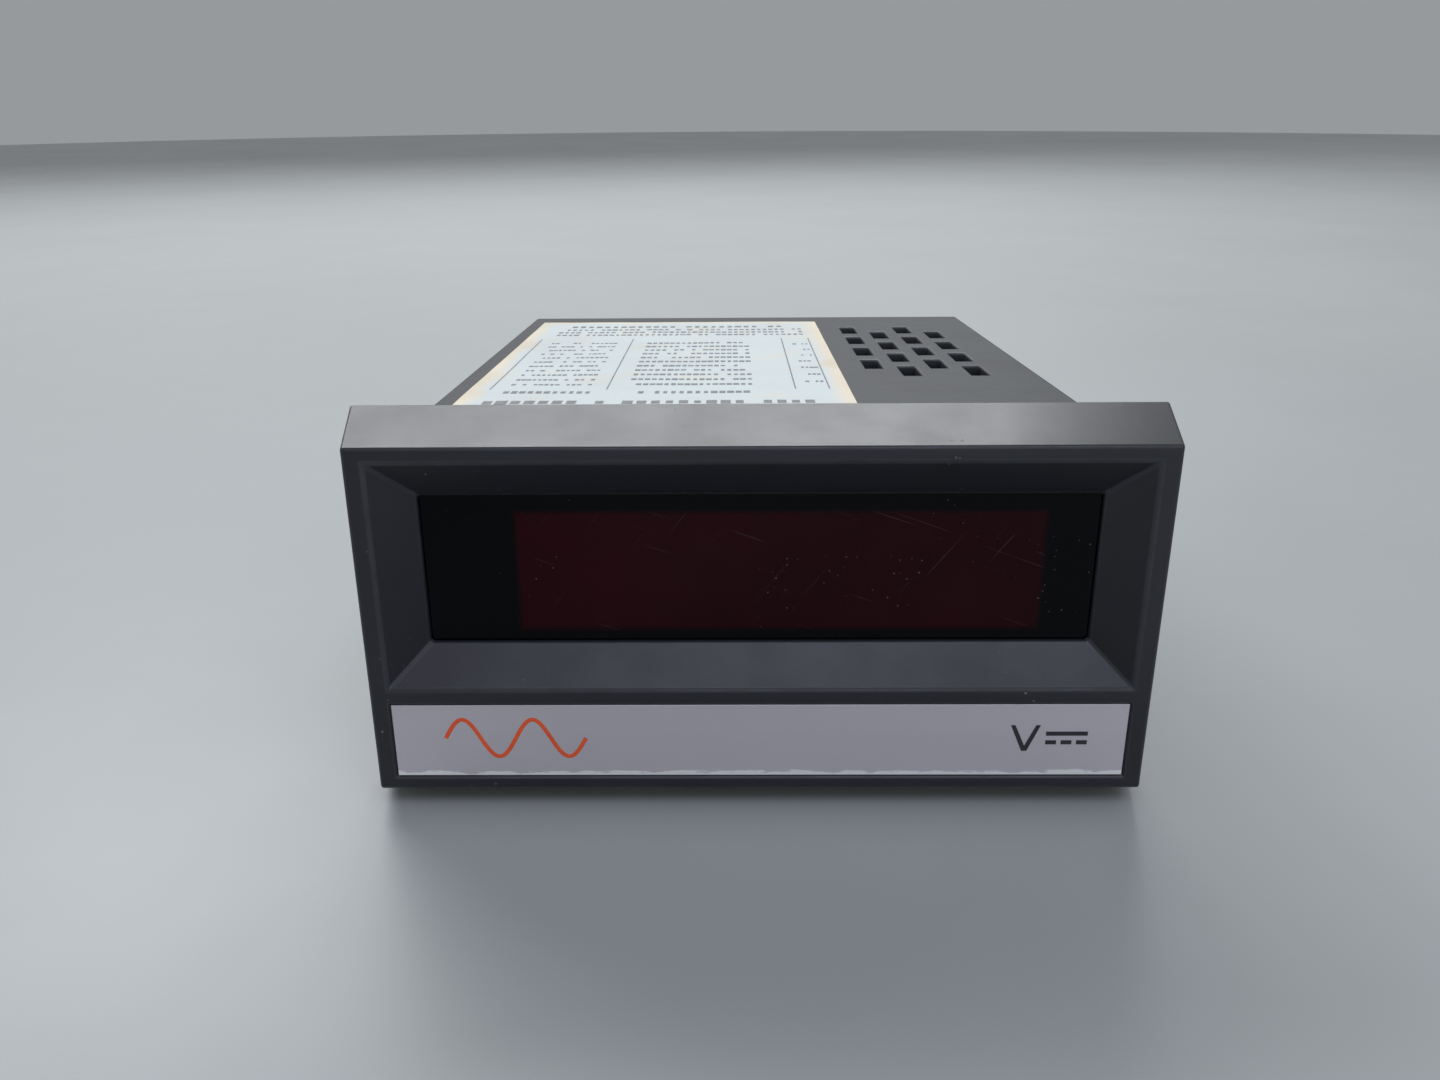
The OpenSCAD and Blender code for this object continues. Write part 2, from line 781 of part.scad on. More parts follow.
module fuse_glass() {
    inside = fuse_l / 2 - 5;
    color("#dfe6e8", 0.5) on_board(fuse_at) translate([-inside, 0, fuse_z]) rotate([0, 90, 0])
        difference() {
            cylinder(h = 2 * inside, d = fuse_d);
            translate([0, 0, -1]) cylinder(h = 2 * inside + 2, d = fuse_d - 1.4);
        }
}

module fuse_caps() {
    cap_l = 5;
    color("#c8c9cb") on_board(fuse_at) for (s = [0, 1]) mirror([s, 0, 0])
        translate([fuse_l / 2 - cap_l, 0, fuse_z]) rotate([0, 90, 0])
            cylinder(h = cap_l, d = fuse_d + 0.4);
}

// ---- Adjusters on the display board ----

module trimmer_body(x) {
    color("#2b57a5") difference() {
        box([x - trimmer_w / 2, display_y - trimmer_d, adjuster_z - trimmer_w / 2],
            [x + trimmer_w / 2, display_y, adjuster_z + trimmer_w / 2]);
        translate([x, 0, adjuster_z])
            rod_y(rotor_r + turn_gap, display_y - trimmer_d - 1, display_y - trimmer_d + rotor_depth);
    }
}

module trimmer_rotor(x) {
    tip = display_y - trimmer_d - rotor_proud;
    color("#c9a95a") translate([x, 0, adjuster_z]) difference() {
        rod_y(rotor_r, tip, display_y - trimmer_d + rotor_depth - turn_gap);
        box([-0.3, tip - 1, -rotor_r - 1], [0.3, tip + 0.8, rotor_r + 1]);
    }
}

// Bodies of the zero and span trimmers
module trimmers() {
    for (x = trimmer_x) trimmer_body(x);
}

module zero_rotor() {
    trimmer_rotor(trimmer_x[0]);
}

module span_rotor() {
    trimmer_rotor(trimmer_x[1]);
}

function header_col_x(i) = header_x + (i - (header_cols - 1) / 2) * pin_pitch;

module header_base() {
    half = header_cols * pin_pitch / 2;
    color("#202022")
        box([header_x - half, display_y - header_base_t, header_z - 2.4],
            [header_x + half, display_y, header_z + 2.4]);
}

module header_pins() {
    y1 = display_y - header_base_t;
    color("#d0b25c") for (i = [0 : header_cols - 1], s = [-1, 1])
        translate([header_col_x(i), 0, header_z + s * pin_pitch / 2])
            box([-pin_side / 2, y1 - pin_reach, -pin_side / 2], [pin_side / 2, y1, pin_side / 2]);
}

// Jumper cap over the two pins of one column
module decimal_point_shunt() {
    y1 = display_y - header_base_t - slide_gap;
    hole = pin_side / 2 + turn_gap;
    color("#2e2e32") translate([header_col_x(min(shunt_col, header_cols - 1)), 0, header_z])
        difference() {
            box([-shunt_w / 2, y1 - shunt_l, -shunt_h / 2], [shunt_w / 2, y1, shunt_h / 2]);
            for (s = [-1, 1]) translate([0, 0, s * pin_pitch / 2])
                box([-hole, y1 - shunt_l - 1, -hole], [hole, y1 + 1, hole]);
        }
}

// ---- Rear ----

module rear_cover() {
    half_w = in_w / 2 - slide_gap;
    half_h = in_h / 2 - slide_gap;
    color("#303236") difference() {
        box([-half_w, cover_y, -half_h], [half_w, cover_face, half_h]);
        box([-block_w / 2 - 0.2, cover_y - 1, board_z - 0.2],
            [block_w / 2 + 0.2, cover_face + 1, block_z1 + 0.2]);
        for (s = [-1, 1]) {
            translate([s * boss_x, 0, boss_z]) rod_y(screw_r + slide_gap, cover_y - 1, cover_face + 1);
            translate([s * bracket_x, 0, board_z + bracket_h * 0.6])
                rod_y(small_screw_r + turn_gap, cover_y - 1, cover_face + 1);
        }
    }
}

// Angle brackets between the main board and the rear cover
module cover_brackets() {
    color("#b4b6b8") for (s = [-1, 1]) translate([s * bracket_x, 0, board_z]) difference() {
        union() {
            box([-bracket_w / 2, cover_y - bracket_l, 0], [bracket_w / 2, cover_y, bracket_t]);
            box([-bracket_w / 2, cover_y - bracket_t, 0], [bracket_w / 2, cover_y, bracket_h]);
        }
        translate([0, board_y1 - bracket_l / 2, -1]) cylinder(h = 4, r = small_screw_r + turn_gap);
        translate([0, 0, bracket_h * 0.6]) rod_y(small_screw_r + turn_gap, cover_y - 4, cover_y + 1);
    }
}

// Screws of the two brackets, and the one that clamps the regulator to its heat sink
module chassis_screws() {
    color("#c3c4c6") {
        for (s = [-1, 1]) translate([s * bracket_x, 0, board_z]) {
            translate([0, cover_face, bracket_h * 0.6])
                slotted_screw(small_screw_r, small_head_r, small_head_h, cover_t + bracket_t + 1);
            translate([0, board_y1 - bracket_l / 2, bracket_t]) rotate([90, 0, 0])
                slotted_screw(small_screw_r, small_head_r, small_head_h, board_t + bracket_t + 1);
        }
        on_board(sink_at) translate([0, sink_inner_y + tab_plate_t, tab_hole_z])
            slotted_screw(small_screw_r, small_head_r, small_head_h, sink_t + tab_plate_t + 2);
    }
}

// Body of the terminal block: ribs part its terminals
module terminal_block() {
    color("#1d1e20") difference() {
        union() {
            box([-block_w / 2, block_y0, board_z], [block_w / 2, block_face, block_z1]);
            for (i = [0 : terminal_count])
                translate([-block_w / 2 + i * terminal_pitch, 0, 0])
                    box([0, block_face - eps, board_z], [terminal_rib, block_y1, block_z1]);
        }
        for (i = [0 : terminal_count - 1]) translate([terminal_x(i), 0, terminal_z])
            rod_y(screw_r + turn_gap, block_face - terminal_screw_l, block_face + 1);
    }
}

function terminal_x(i) = (i - (terminal_count - 1) / 2) * terminal_pitch;

module terminal_tabs() {
    color("#cfcaa8") for (i = [0 : terminal_count - 1]) translate([terminal_x(i), 0, terminal_z])
        difference() {
            box([-tab_w / 2, block_face, -tab_h / 2], [tab_w / 2, block_face + tab_t, tab_h / 2]);
            rod_y(screw_r + turn_gap, block_face - 1, block_face + tab_t + 1);
        }
}

module clamp_plate(i) {
    color("#cfcaa8") translate([terminal_x(i), 0, terminal_z]) difference() {
        box([-clamp_side / 2, clamp_y, -clamp_side / 2], [clamp_side / 2, clamp_y + clamp_t, clamp_side / 2]);
        rod_y(screw_r + turn_gap, clamp_y - 1, clamp_y + clamp_t + 1);
    }
}

module terminal_screw(i) {
    color("#c3c4c6") translate([terminal_x(i), clamp_y + clamp_t + turn_gap, terminal_z])
        slotted_screw(screw_r, head_r, head_h, terminal_screw_l);
}

module cover_washer(side) {
    color("#c3c4c6") translate([side * boss_x, 0, boss_z]) difference() {
        rod_y(washer_r, cover_face + turn_gap, cover_face + turn_gap + washer_t);
        rod_y(screw_r + turn_gap, cover_face - 1, cover_face + washer_t + 1);
    }
}

module cover_screw(side) {
    color("#c3c4c6") translate([side * boss_x, cover_face + washer_t + 2 * turn_gap, boss_z])
        slotted_screw(screw_r, head_r, head_h, cover_screw_l);
}

case_sleeve();
rating_label();
bezel();
lens();
display_mask();
nameplate();
main_board();
display_board();
board_link_pins();
sign_digit();
full_digits();
digit_segments();
adc_socket();
adc_chip();
small_chips();
resistor_network();
digit_transistors();
crystal();
voltage_reference();
film_capacitors();
disc_capacitors();
resistors();
range_resistors();
transformer_core();
transformer_bobbin();
transformer_winding();
rectifier_diodes();
smoothing_capacitors();
regulator();
heat_sink();
fuse_clips();
fuse_glass();
fuse_caps();
trimmers();
zero_rotor();
span_rotor();
header_base();
header_pins();
decimal_point_shunt();
rear_cover();
cover_brackets();
chassis_screws();
terminal_block();
terminal_tabs();
cover_washer(-1);  // cover_washer_left
cover_washer(1);  // cover_washer_right
cover_screw(-1);  // cover_screw_left
cover_screw(1);  // cover_screw_right
for (i = [1 : terminal_count]) {
    clamp_plate(i - 1);
    terminal_screw(i - 1);
}
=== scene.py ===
"""Looks of a digital panel meter for direct voltage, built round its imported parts."""

import json
import logging
import math
from dataclasses import dataclass, field
from enum import Enum
from typing import Callable, Sequence

import bmesh
import bpy
from mathutils import Matrix, Vector

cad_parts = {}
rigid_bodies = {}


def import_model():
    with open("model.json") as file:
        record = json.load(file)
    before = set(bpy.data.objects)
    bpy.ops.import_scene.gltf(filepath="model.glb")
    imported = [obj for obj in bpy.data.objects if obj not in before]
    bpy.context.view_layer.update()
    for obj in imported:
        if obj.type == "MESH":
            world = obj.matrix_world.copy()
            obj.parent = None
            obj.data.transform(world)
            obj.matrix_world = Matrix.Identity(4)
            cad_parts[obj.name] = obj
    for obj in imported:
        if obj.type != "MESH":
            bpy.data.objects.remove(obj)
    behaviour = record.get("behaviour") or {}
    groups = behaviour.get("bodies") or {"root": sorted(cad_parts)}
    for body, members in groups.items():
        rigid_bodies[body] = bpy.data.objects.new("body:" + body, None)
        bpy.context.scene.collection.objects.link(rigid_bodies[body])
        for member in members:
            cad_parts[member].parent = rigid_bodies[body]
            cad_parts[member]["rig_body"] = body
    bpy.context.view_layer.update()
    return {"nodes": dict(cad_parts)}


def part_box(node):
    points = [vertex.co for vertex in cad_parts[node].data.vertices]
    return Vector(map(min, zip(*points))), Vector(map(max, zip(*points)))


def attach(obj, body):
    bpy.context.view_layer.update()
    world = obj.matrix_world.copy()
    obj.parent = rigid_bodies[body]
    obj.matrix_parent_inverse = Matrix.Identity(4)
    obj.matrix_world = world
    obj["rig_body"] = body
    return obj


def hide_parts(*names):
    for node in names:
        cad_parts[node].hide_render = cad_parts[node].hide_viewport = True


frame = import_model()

MM = 0.001
WELD = 2e-6
LOG = logging.getLogger("meter")

Corner = tuple[float, float, float]
Object = bpy.types.Object
Socket = bpy.types.NodeSocket
Tree = bpy.types.NodeTree


class Axis(Enum):
    """Directions a turned shape can lie along."""

    X = "X"
    Y = "Y"
    Z = "Z"


class Side(Enum):
    """The two sides of the meter, seen from its front."""

    LEFT = -1
    RIGHT = 1


# ---- Small helpers ----


def srgb(value: str) -> tuple[float, float, float, float]:
    """Turns an sRGB hex colour to linear.

    Args:
        value: the colour, such as "#2b2d30".

    Returns:
        Red, green, blue and an alpha of one.
    """
    parts = [int(value[i:i + 2], 16) / 255 for i in (1, 3, 5)]
    lin = [p / 12.92 if p <= 0.04045 else ((p + 0.055) / 1.055) ** 2.4 for p in parts]
    return (lin[0], lin[1], lin[2], 1.0)


def add_node(tree: Tree, kind: str, inputs: dict | None = None,
             **settings: object) -> bpy.types.Node:
    """Adds a node with its settings, values and links.

    Args:
        tree: the material's or the geometry's node tree.
        kind: the node's type name.
        inputs: values, sockets or nodes for its inputs, by name or place; a node gives
            its first output.
        **settings: properties of the node itself.

    Returns:
        The new node.
    """
    made = tree.nodes.new(kind)
    for key, value in settings.items():
        setattr(made, key, value)
    for key, value in (inputs or {}).items():
        if isinstance(value, bpy.types.Node):
            value = value.outputs[0]
        if isinstance(value, Socket):
            tree.links.new(value, made.inputs[key])
        else:
            made.inputs[key].default_value = value
    return made


def node_box(node: str) -> tuple[Vector, Vector]:
    """Returns a CAD node's lowest and highest corners in millimetres."""
    lo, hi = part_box(node)
    return lo / MM, hi / MM


def body_of(node: str) -> str:
    """Returns the name of the body that a CAD node rides on."""
    return frame["nodes"][node]["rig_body"]


def islands(node: str) -> list[tuple[Vector, Vector]]:
    """Finds the separate solids of a CAD node.

    Args:
        node: the node's name.

    Returns:
        Each solid's lowest and highest corners in millimetres, from left to right.
    """
    bm = bmesh.new()
    bm.from_mesh(frame["nodes"][node].data)
    bmesh.ops.remove_doubles(bm, verts=bm.verts, dist=WELD)
    seen: set[int] = set()
    boxes = []
    for first in bm.verts:
        if first.index in seen:
            continue
        seen.add(first.index)
        stack, lo, hi = [first], Vector(first.co), Vector(first.co)
        while stack:
            vert = stack.pop()
            lo = Vector(map(min, lo, vert.co))
            hi = Vector(map(max, hi, vert.co))
            for edge in vert.link_edges:
                other = edge.other_vert(vert)
                if other.index not in seen:
                    seen.add(other.index)
                    stack.append(other)
        boxes.append((lo / MM, hi / MM))
    bm.free()
    return sorted(boxes, key=lambda b: (round(b[0].x, 2), round(b[0].y, 2), round(b[0].z, 2)))


def middle(box: tuple[Vector, Vector]) -> Vector:
    """Returns the middle of a box."""
    return (box[0] + box[1]) / 2


def link_mesh(name: str, bm: bmesh.types.BMesh,
              mats: Sequence[bpy.types.Material]) -> Object:
    """Makes an object at the origin from a mesh under construction.

    Args:
        name: the piece's name.
        bm: the mesh, in metres; it is freed.
        mats: its materials, in slot order.

    Returns:
        The linked object.
    """
    data = bpy.data.meshes.new(name)
    bm.to_mesh(data)
    bm.free()
    for mat in mats:
        data.materials.append(mat)
    made = bpy.data.objects.new(name, data)
    bpy.context.scene.collection.objects.link(made)
    return made


def plain(obj: Object, name: str) -> Object:
    """Turns an object with modifiers to a plain mesh of its final shape.

    Args:
        obj: the object; it is removed.
        name: the new piece's name.

    Returns:
        A new object at the origin with no modifiers.
    """
    graph = bpy.context.evaluated_depsgraph_get()
    graph.update()
    data = bpy.data.meshes.new_from_object(obj.evaluated_get(graph), depsgraph=graph)
    data.name = name
    bpy.data.objects.remove(obj)
    made = bpy.data.objects.new(name, data)
    bpy.context.scene.collection.objects.link(made)
    return made


def smooth(obj: Object, angle: float = 35.0) -> Object:
    """Shades an object smooth, with its edges sharp past an angle in degrees."""
    obj.data.shade_smooth()
    obj.data.set_sharp_from_angle(angle=math.radians(angle))
    return obj


# ---- Finishes ----

_MADE: dict[str, bpy.types.Material] = {}


@dataclass(frozen=True)
class Finish:
    """A surface with blotches of two shades, a fine grain and a little dust.

    Sizes are in millimetres; rough is the range of roughness over the surface.
    """

    name: str
    slot: str
    colour: str
    shade: str
    blotch: float = 8.0
    rough: tuple[float, float] = (0.4, 0.5)
    grain: float = 0.3
    depth: float = 0.006
    metallic: float = 0.0
    stretch: Corner = (1.0, 1.0, 1.0)
    dust: float = 0.0
    dust_colour: str = "#8d8a86"
    dust_size: float = 0.25
    dust_drift: float = 14.0
    specular: float = 0.5
    ior: float = 1.5
    transmission: float = 0.0

    def paint(self, tree: Tree, coords: Socket, blotch: Socket) -> Socket:
        """Returns the colour of the clean surface: two shades in soft blotches."""
        mix = add_node(tree, "ShaderNodeMix", {0: blotch, 6: srgb(self.colour),
                                               7: srgb(self.shade)}, data_type="RGBA")
        return mix.outputs[2]

    def relief(self, tree: Tree, coords: Socket) -> Socket:
        """Returns the height of the fine grain, from zero to one."""
        grain = add_node(tree, "ShaderNodeTexNoise", {
            "Vector": coords, "Scale": 1 / (self.grain * MM), "Detail": 3.0,
            "Roughness": 0.6})
        return grain.outputs["Fac"]

    def dusted(self, tree: Tree, coords: Socket, colour: Socket) -> tuple[Socket, ...]:
        """Lays sparse specks of dust over a colour.

        Args:
            tree: the material's nodes.
            coords: object coordinates.
            colour: the colour under the dust.

        Returns:
            The dusted colour and the share of dust.
        """
        cells = add_node(tree, "ShaderNodeTexVoronoi", {
            "Vector": coords, "Scale": 1 / (self.dust_size * 6 * MM), "Randomness": 1.0})
        drift = add_node(tree, "ShaderNodeTexNoise", {
            "Vector": coords, "Scale": 1 / (self.dust_drift * MM), "Detail": 2.0})
        reach = add_node(tree, "ShaderNodeMapRange", {
            "Value": drift.outputs["Fac"], 1: 0.45, 2: 0.7, 3: 0.0, 4: 0.16})
        near = add_node(tree, "ShaderNodeMath", {
            0: reach, 1: cells.outputs["Distance"]}, operation="SUBTRACT")
        speck = add_node(tree, "ShaderNodeMapRange", {
            "Value": near, 1: 0.0, 2: 0.06, 3: 0.0, 4: self.dust})
        mix = add_node(tree, "ShaderNodeMix", {
            0: speck, 6: colour, 7: srgb(self.dust_colour)}, data_type="RGBA")
        return mix.outputs[2], speck.outputs[0]

    def material(self) -> bpy.types.Material:
        """Returns the finish's material, made once."""
        if self.name in _MADE:
            return _MADE[self.name]
        mat = bpy.data.materials.new(self.name)
        mat.use_nodes = True
        tree = mat.node_tree
        tree.nodes.clear()
        where = add_node(tree, "ShaderNodeTexCoord").outputs["Object"]
        coords = add_node(tree, "ShaderNodeMapping", {
            "Vector": where, "Scale": self.stretch}).outputs[0]
        soft = add_node(tree, "ShaderNodeTexNoise", {
            "Vector": coords, "Scale": 1 / (self.blotch * MM), "Detail": 4.0,
            "Roughness": 0.6})
        blotch = add_node(tree, "ShaderNodeMapRange", {
            "Value": soft.outputs["Fac"], 1: 0.35, 2: 0.65}).outputs[0]
        colour = self.paint(tree, where, blotch)
        gloss = add_node(tree, "ShaderNodeMapRange", {
            "Value": blotch, 3: self.rough[0], 4: self.rough[1]}).outputs[0]
        if self.dust:
            colour, share = self.dusted(tree, where, colour)
            gloss = add_node(tree, "ShaderNodeMath", {0: gloss, 1: share},
                             operation="ADD", use_clamp=True).outputs[0]
        bump = add_node(tree, "ShaderNodeBump", {
            "Height": self.relief(tree, coords), "Strength": 1.0,
            "Distance": self.depth * MM})
        lit = add_node(tree, "ShaderNodeBsdfPrincipled", {
            "Base Color": colour, "Roughness": gloss, "Normal": bump,
            "Metallic": self.metallic})
        if self.metallic < 0.5:
            lit.inputs["IOR"].default_value = self.ior
            lit.inputs["Specular IOR Level"].default_value = self.specular
        lit.inputs["Transmission Weight"].default_value = self.transmission
        add_node(tree, "ShaderNodeOutputMaterial", {"Surface": lit})
        _MADE[self.name] = mat
        return mat


@dataclass(frozen=True)
class LayeredFinish(Finish):
    """A finish with thin layers across one axis, such as stacked plates or wound tape."""

    axis: int = 1
    pitch: float = 0.5
    groove: str = "#2a2826"

    def relief(self, tree: Tree, coords: Socket) -> Socket:
        """Returns a height with one dip for each layer."""
        split = add_node(tree, "ShaderNodeSeparateXYZ", {0: coords})
        wave = add_node(tree, "ShaderNodeMath", {
            0: split.outputs[self.axis], 1: self.pitch * MM}, operation="PINGPONG")
        return add_node(tree, "ShaderNodeMapRange", {
            "Value": wave, 1: 0.0, 2: self.pitch * MM * 0.3}).outputs[0]

    def paint(self, tree: Tree, coords: Socket, blotch: Socket) -> Socket:
        """Returns the blotched colour, darker between the layers."""
        base = super().paint(tree, coords, blotch)
        mix = add_node(tree, "ShaderNodeMix", {
            0: self.relief(tree, coords), 6: srgb(self.groove), 7: base}, data_type="RGBA")
        return mix.outputs[2]


@dataclass(frozen=True)
class ScratchedFinish(Finish):
    """A smooth glossy surface with sparse hairline scratches and specks."""

    scratch: str = "#7a7478"
    length: float = 14.0
    width: float = 0.3
    rarity: tuple[float, float] = (0.745, 0.79)
    strength: float = 0.14

    def paint(self, tree: Tree, coords: Socket, blotch: Socket) -> Socket:
        """Returns the colour with thin pale scratches in two directions."""
        colour = super().paint(tree, coords, blotch)
        for turn, seed in ((0.35, 3.0), (-0.9, 17.0)):
            lean = add_node(tree, "ShaderNodeMapping", {
                "Vector": coords, "Rotation": (0.0, turn, 0.0),
                "Location": (seed * MM, 0.0, seed * MM),
                "Scale": Vector((self.length, self.length, self.width)) * MM},
                vector_type="TEXTURE")
            line = add_node(tree, "ShaderNodeTexNoise", {
                "Vector": lean, "Scale": 1.0, "Detail": 1.0})
            near = add_node(tree, "ShaderNodeMapRange", {
                "Value": line.outputs["Fac"], 1: self.rarity[0], 2: self.rarity[1],
                3: 0.0, 4: self.strength})
            colour = add_node(tree, "ShaderNodeMix", {
                0: near, 6: colour, 7: srgb(self.scratch)},
                data_type="RGBA").outputs[2]
        return colour


@dataclass(frozen=True)
class FoilFinish(Finish):
    """Brushed foil whose lower edge has flaked to bright metal."""

    flake: str = "#ffffff"
    edge_z: float = 0.0
    flake_size: float = 1.1
    flake_reach: float = 1.5

    def paint(self, tree: Tree, coords: Socket, blotch: Socket) -> Socket:
        """Returns the brushed colour with bright ragged patches by the lower edge."""
        base = super().paint(tree, coords, blotch)
        split = add_node(tree, "ShaderNodeSeparateXYZ", {0: coords})
        long = add_node(tree, "ShaderNodeMapping", {
            "Vector": coords, "Scale": (0.35, 1.0, 1.0)})
        rag = add_node(tree, "ShaderNodeTexNoise", {
            "Vector": long, "Scale": 1 / (self.flake_size * MM),
            "Detail": 3.0})
        rise = add_node(tree, "ShaderNodeMapRange", {
            "Value": split.outputs[2], 1: self.edge_z * MM,
            2: (self.edge_z + self.flake_reach) * MM, 3: 0.95, 4: 0.0})
        worn = add_node(tree, "ShaderNodeMath", {0: rag.outputs["Fac"], 1: rise},
                        operation="MULTIPLY")
        patch = add_node(tree, "ShaderNodeMapRange", {
            "Value": worn, 1: 0.24, 2: 0.34})
        mix = add_node(tree, "ShaderNodeMix", {
            0: patch, 6: base, 7: srgb(self.flake)}, data_type="RGBA")
        return mix.outputs[2]


def inside_box(tree: Tree, split: bpy.types.Node, axes: tuple[int, int], lo: Corner,
               hi: Corner, fade: tuple[float, float]) -> Socket:
    """Rises from zero at a box's edges to one inside them.

    Args:
        tree: the material's nodes.
        split: the node that parts the object coordinates.
        axes: the two axes that the edges lie across.
        lo: the box's lowest corner.
        hi: its highest corner.
        fade: where the rise starts and ends, inwards from each edge.

    Returns:
        The least of the four rises.
    """
    inside = None
    for axis in axes:
        for edge, sign in ((lo[axis], 1.0), (hi[axis], -1.0)):
            start, end = ((edge + sign * reach) * MM for reach in fade)
            step = add_node(tree, "ShaderNodeMapRange", {
                "Value": split.outputs[axis], 1: start, 2: end})
            inside = step if inside is None else add_node(
                tree, "ShaderNodeMath", {0: inside, 1: step}, operation="MINIMUM")
    return inside.outputs[0]


@dataclass(frozen=True)
class LabelFinish(Finish):
    """Coated paper: cream by its edges, cooler in the middle, with brown stains."""

    lo: Corner = (0.0, 0.0, 0.0)
    hi: Corner = (1.0, 1.0, 1.0)
    border: str = "#f3e6cc"
    stain: str = "#b08a5a"
    rim: float = 4.0
    age_size: float = 9.0
    stain_size: float = 3.5
    stain_reach: float = 16.0

    def paint(self, tree: Tree, coords: Socket, blotch: Socket) -> Socket:
        """Returns the paper's colour, yellowed at its rim and stained in front."""
        split = add_node(tree, "ShaderNodeSeparateXYZ", {0: coords})
        inside = inside_box(tree, split, (0, 1), self.lo, self.hi, (0.0, self.rim))
        base = super().paint(tree, coords, blotch)
        wavy = add_node(tree, "ShaderNodeTexNoise", {
            "Vector": coords, "Scale": 1 / (self.age_size * MM), "Detail": 3.0})
        age = add_node(tree, "ShaderNodeMath", {0: inside, 1: wavy.outputs["Fac"]},
                       operation="MULTIPLY")
        tone = add_node(tree, "ShaderNodeMapRange", {
            "Value": age, 1: 0.1, 2: 0.45})
        paper = add_node(tree, "ShaderNodeMix", {
            0: tone, 6: srgb(self.border), 7: base}, data_type="RGBA")
        front = add_node(tree, "ShaderNodeMapRange", {
            "Value": split.outputs[1], 1: self.lo[1] * MM,
            2: (self.lo[1] + self.stain_reach) * MM, 3: 1.0, 4: 0.0})
        spot = add_node(tree, "ShaderNodeTexNoise", {
            "Vector": coords, "Scale": 1 / (self.stain_size * MM), "Detail": 4.0})
        mark = add_node(tree, "ShaderNodeMath", {0: front, 1: spot.outputs["Fac"]},
                        operation="MULTIPLY")
        share = add_node(tree, "ShaderNodeMapRange", {
            "Value": mark, 1: 0.44, 2: 0.6, 3: 0.0, 4: 0.6})
        mix = add_node(tree, "ShaderNodeMix", {
            0: share, 6: paper.outputs[2], 7: srgb(self.stain)},
            data_type="RGBA")
        return mix.outputs[2]


@dataclass(frozen=True)
class WindowFinish(ScratchedFinish):
    """Dark acrylic: deep red where its back is clear and black over the mask."""

    lo: Corner = (0.0, 0.0, 0.0)
    hi: Corner = (1.0, 1.0, 1.0)
    black: str = "#030305"
    fade: tuple[float, float] = (-0.3, 0.5)

    def paint(self, tree: Tree, coords: Socket, blotch: Socket) -> Socket:
        """Returns red inside the clear part and black round it, with scratches on both."""
        base = super().paint(tree, coords, blotch)
        split = add_node(tree, "ShaderNodeSeparateXYZ", {0: coords})
        inside = inside_box(tree, split, (0, 2), self.lo, self.hi, self.fade)
        mix = add_node(tree, "ShaderNodeMix", {
            0: inside, 6: srgb(self.black), 7: base}, data_type="RGBA")
        return mix.outputs[2]


@dataclass(frozen=True)
class BoardFinish(Finish):
    """Green glass-epoxy board: copper tracks run under its solder mask."""

    track: str = "#3f8a4e"
    across: int = 1
    block: float = 7.62
    pitch: float = 1.27
    edge: tuple[float, float] = (0.38, 0.45)
    turned: float = 0.45
    filled: float = 0.82

    def paint(self, tree: Tree, coords: Socket, blotch: Socket) -> Socket:
        """Returns mask green with lighter tracks that turn in square steps."""
        base = super().paint(tree, coords, blotch)
        step = add_node(tree, "ShaderNodeVectorMath", {
            0: coords, 1: (self.block * MM,) * 3}, operation="SNAP")
        kind = add_node(tree, "ShaderNodeTexWhiteNoise", {0: step},
                        noise_dimensions="3D")
        split = add_node(tree, "ShaderNodeSeparateXYZ", {0: coords})
        lines = []
        for axis in (0, self.across):
            wave = add_node(tree, "ShaderNodeMath", {
                0: split.outputs[axis], 1: self.pitch * MM}, operation="PINGPONG")
            lines.append(add_node(tree, "ShaderNodeMapRange", {
                "Value": wave, 1: self.edge[0] * MM, 2: self.edge[1] * MM,
                3: 1.0, 4: 0.0}).outputs[0])
        pick = add_node(tree, "ShaderNodeMath", {
            0: kind.outputs["Value"], 1: self.turned},
            operation="GREATER_THAN")
        some = add_node(tree, "ShaderNodeMath", {
            0: kind.outputs["Value"], 1: self.filled},
            operation="LESS_THAN")
        either = add_node(tree, "ShaderNodeMix", {
            0: pick, 2: lines[0], 3: lines[1]}, data_type="FLOAT")
        shown = add_node(tree, "ShaderNodeMath", {
            0: either, 1: some}, operation="MULTIPLY")
        mix = add_node(tree, "ShaderNodeMix", {
            0: shown, 6: base, 7: srgb(self.track)}, data_type="RGBA")
        return mix.outputs[2]


# Injection-moulded ABS with a spark-eroded grain: matte, with a soft sheen on top
SLEEVE = Finish("moulded_abs_sleeve", "moulded_sleeve", "#35383b", "#2f3235", 14, (0.42, 0.5),
                0.35, 0.012, dust=0.5, specular=0.36, dust_colour="#80807e")
# The bezel's smoother ABS: satin, with lint in its corners
BEZEL = Finish("moulded_abs_bezel", "moulded_bezel", "#1b1d24", "#18191f", 12, (0.35, 0.41),
               0.3, 0.007, dust=0.55, dust_colour="#9a948c")
# Handling has polished the bezel's edges a little lighter
BEZEL_EDGE = Finish("polished_abs_edge", "moulded_bezel", "#2b2d33", "#24262c", 5, (0.28, 0.4),
                    0.3, 0.004)
SLEEVE_EDGE = Finish("worn_abs_edge", "moulded_sleeve", "#4a4d50", "#37393c", 5, (0.35, 0.5),
                     0.35, 0.006)
# Flat black screen ink on the lens's back
MASK_INK = Finish("black_screen_ink", "black_mask", "#060608", "#0a0a0c", 5, (0.5, 0.7),
                  0.1, 0.002)
# Screen-printed inks on foil: flat, slightly raised, fully opaque
ORANGE_INK = Finish("orange_screen_ink", "brushed_foil", "#f0602c", "#e25628", 1.5,
                    (0.45, 0.6), 0.12, 0.004)
DARK_INK = Finish("dark_screen_ink", "brushed_foil", "#1f1f26", "#2a2a31", 1.5, (0.45, 0.6),
                  0.12, 0.004)
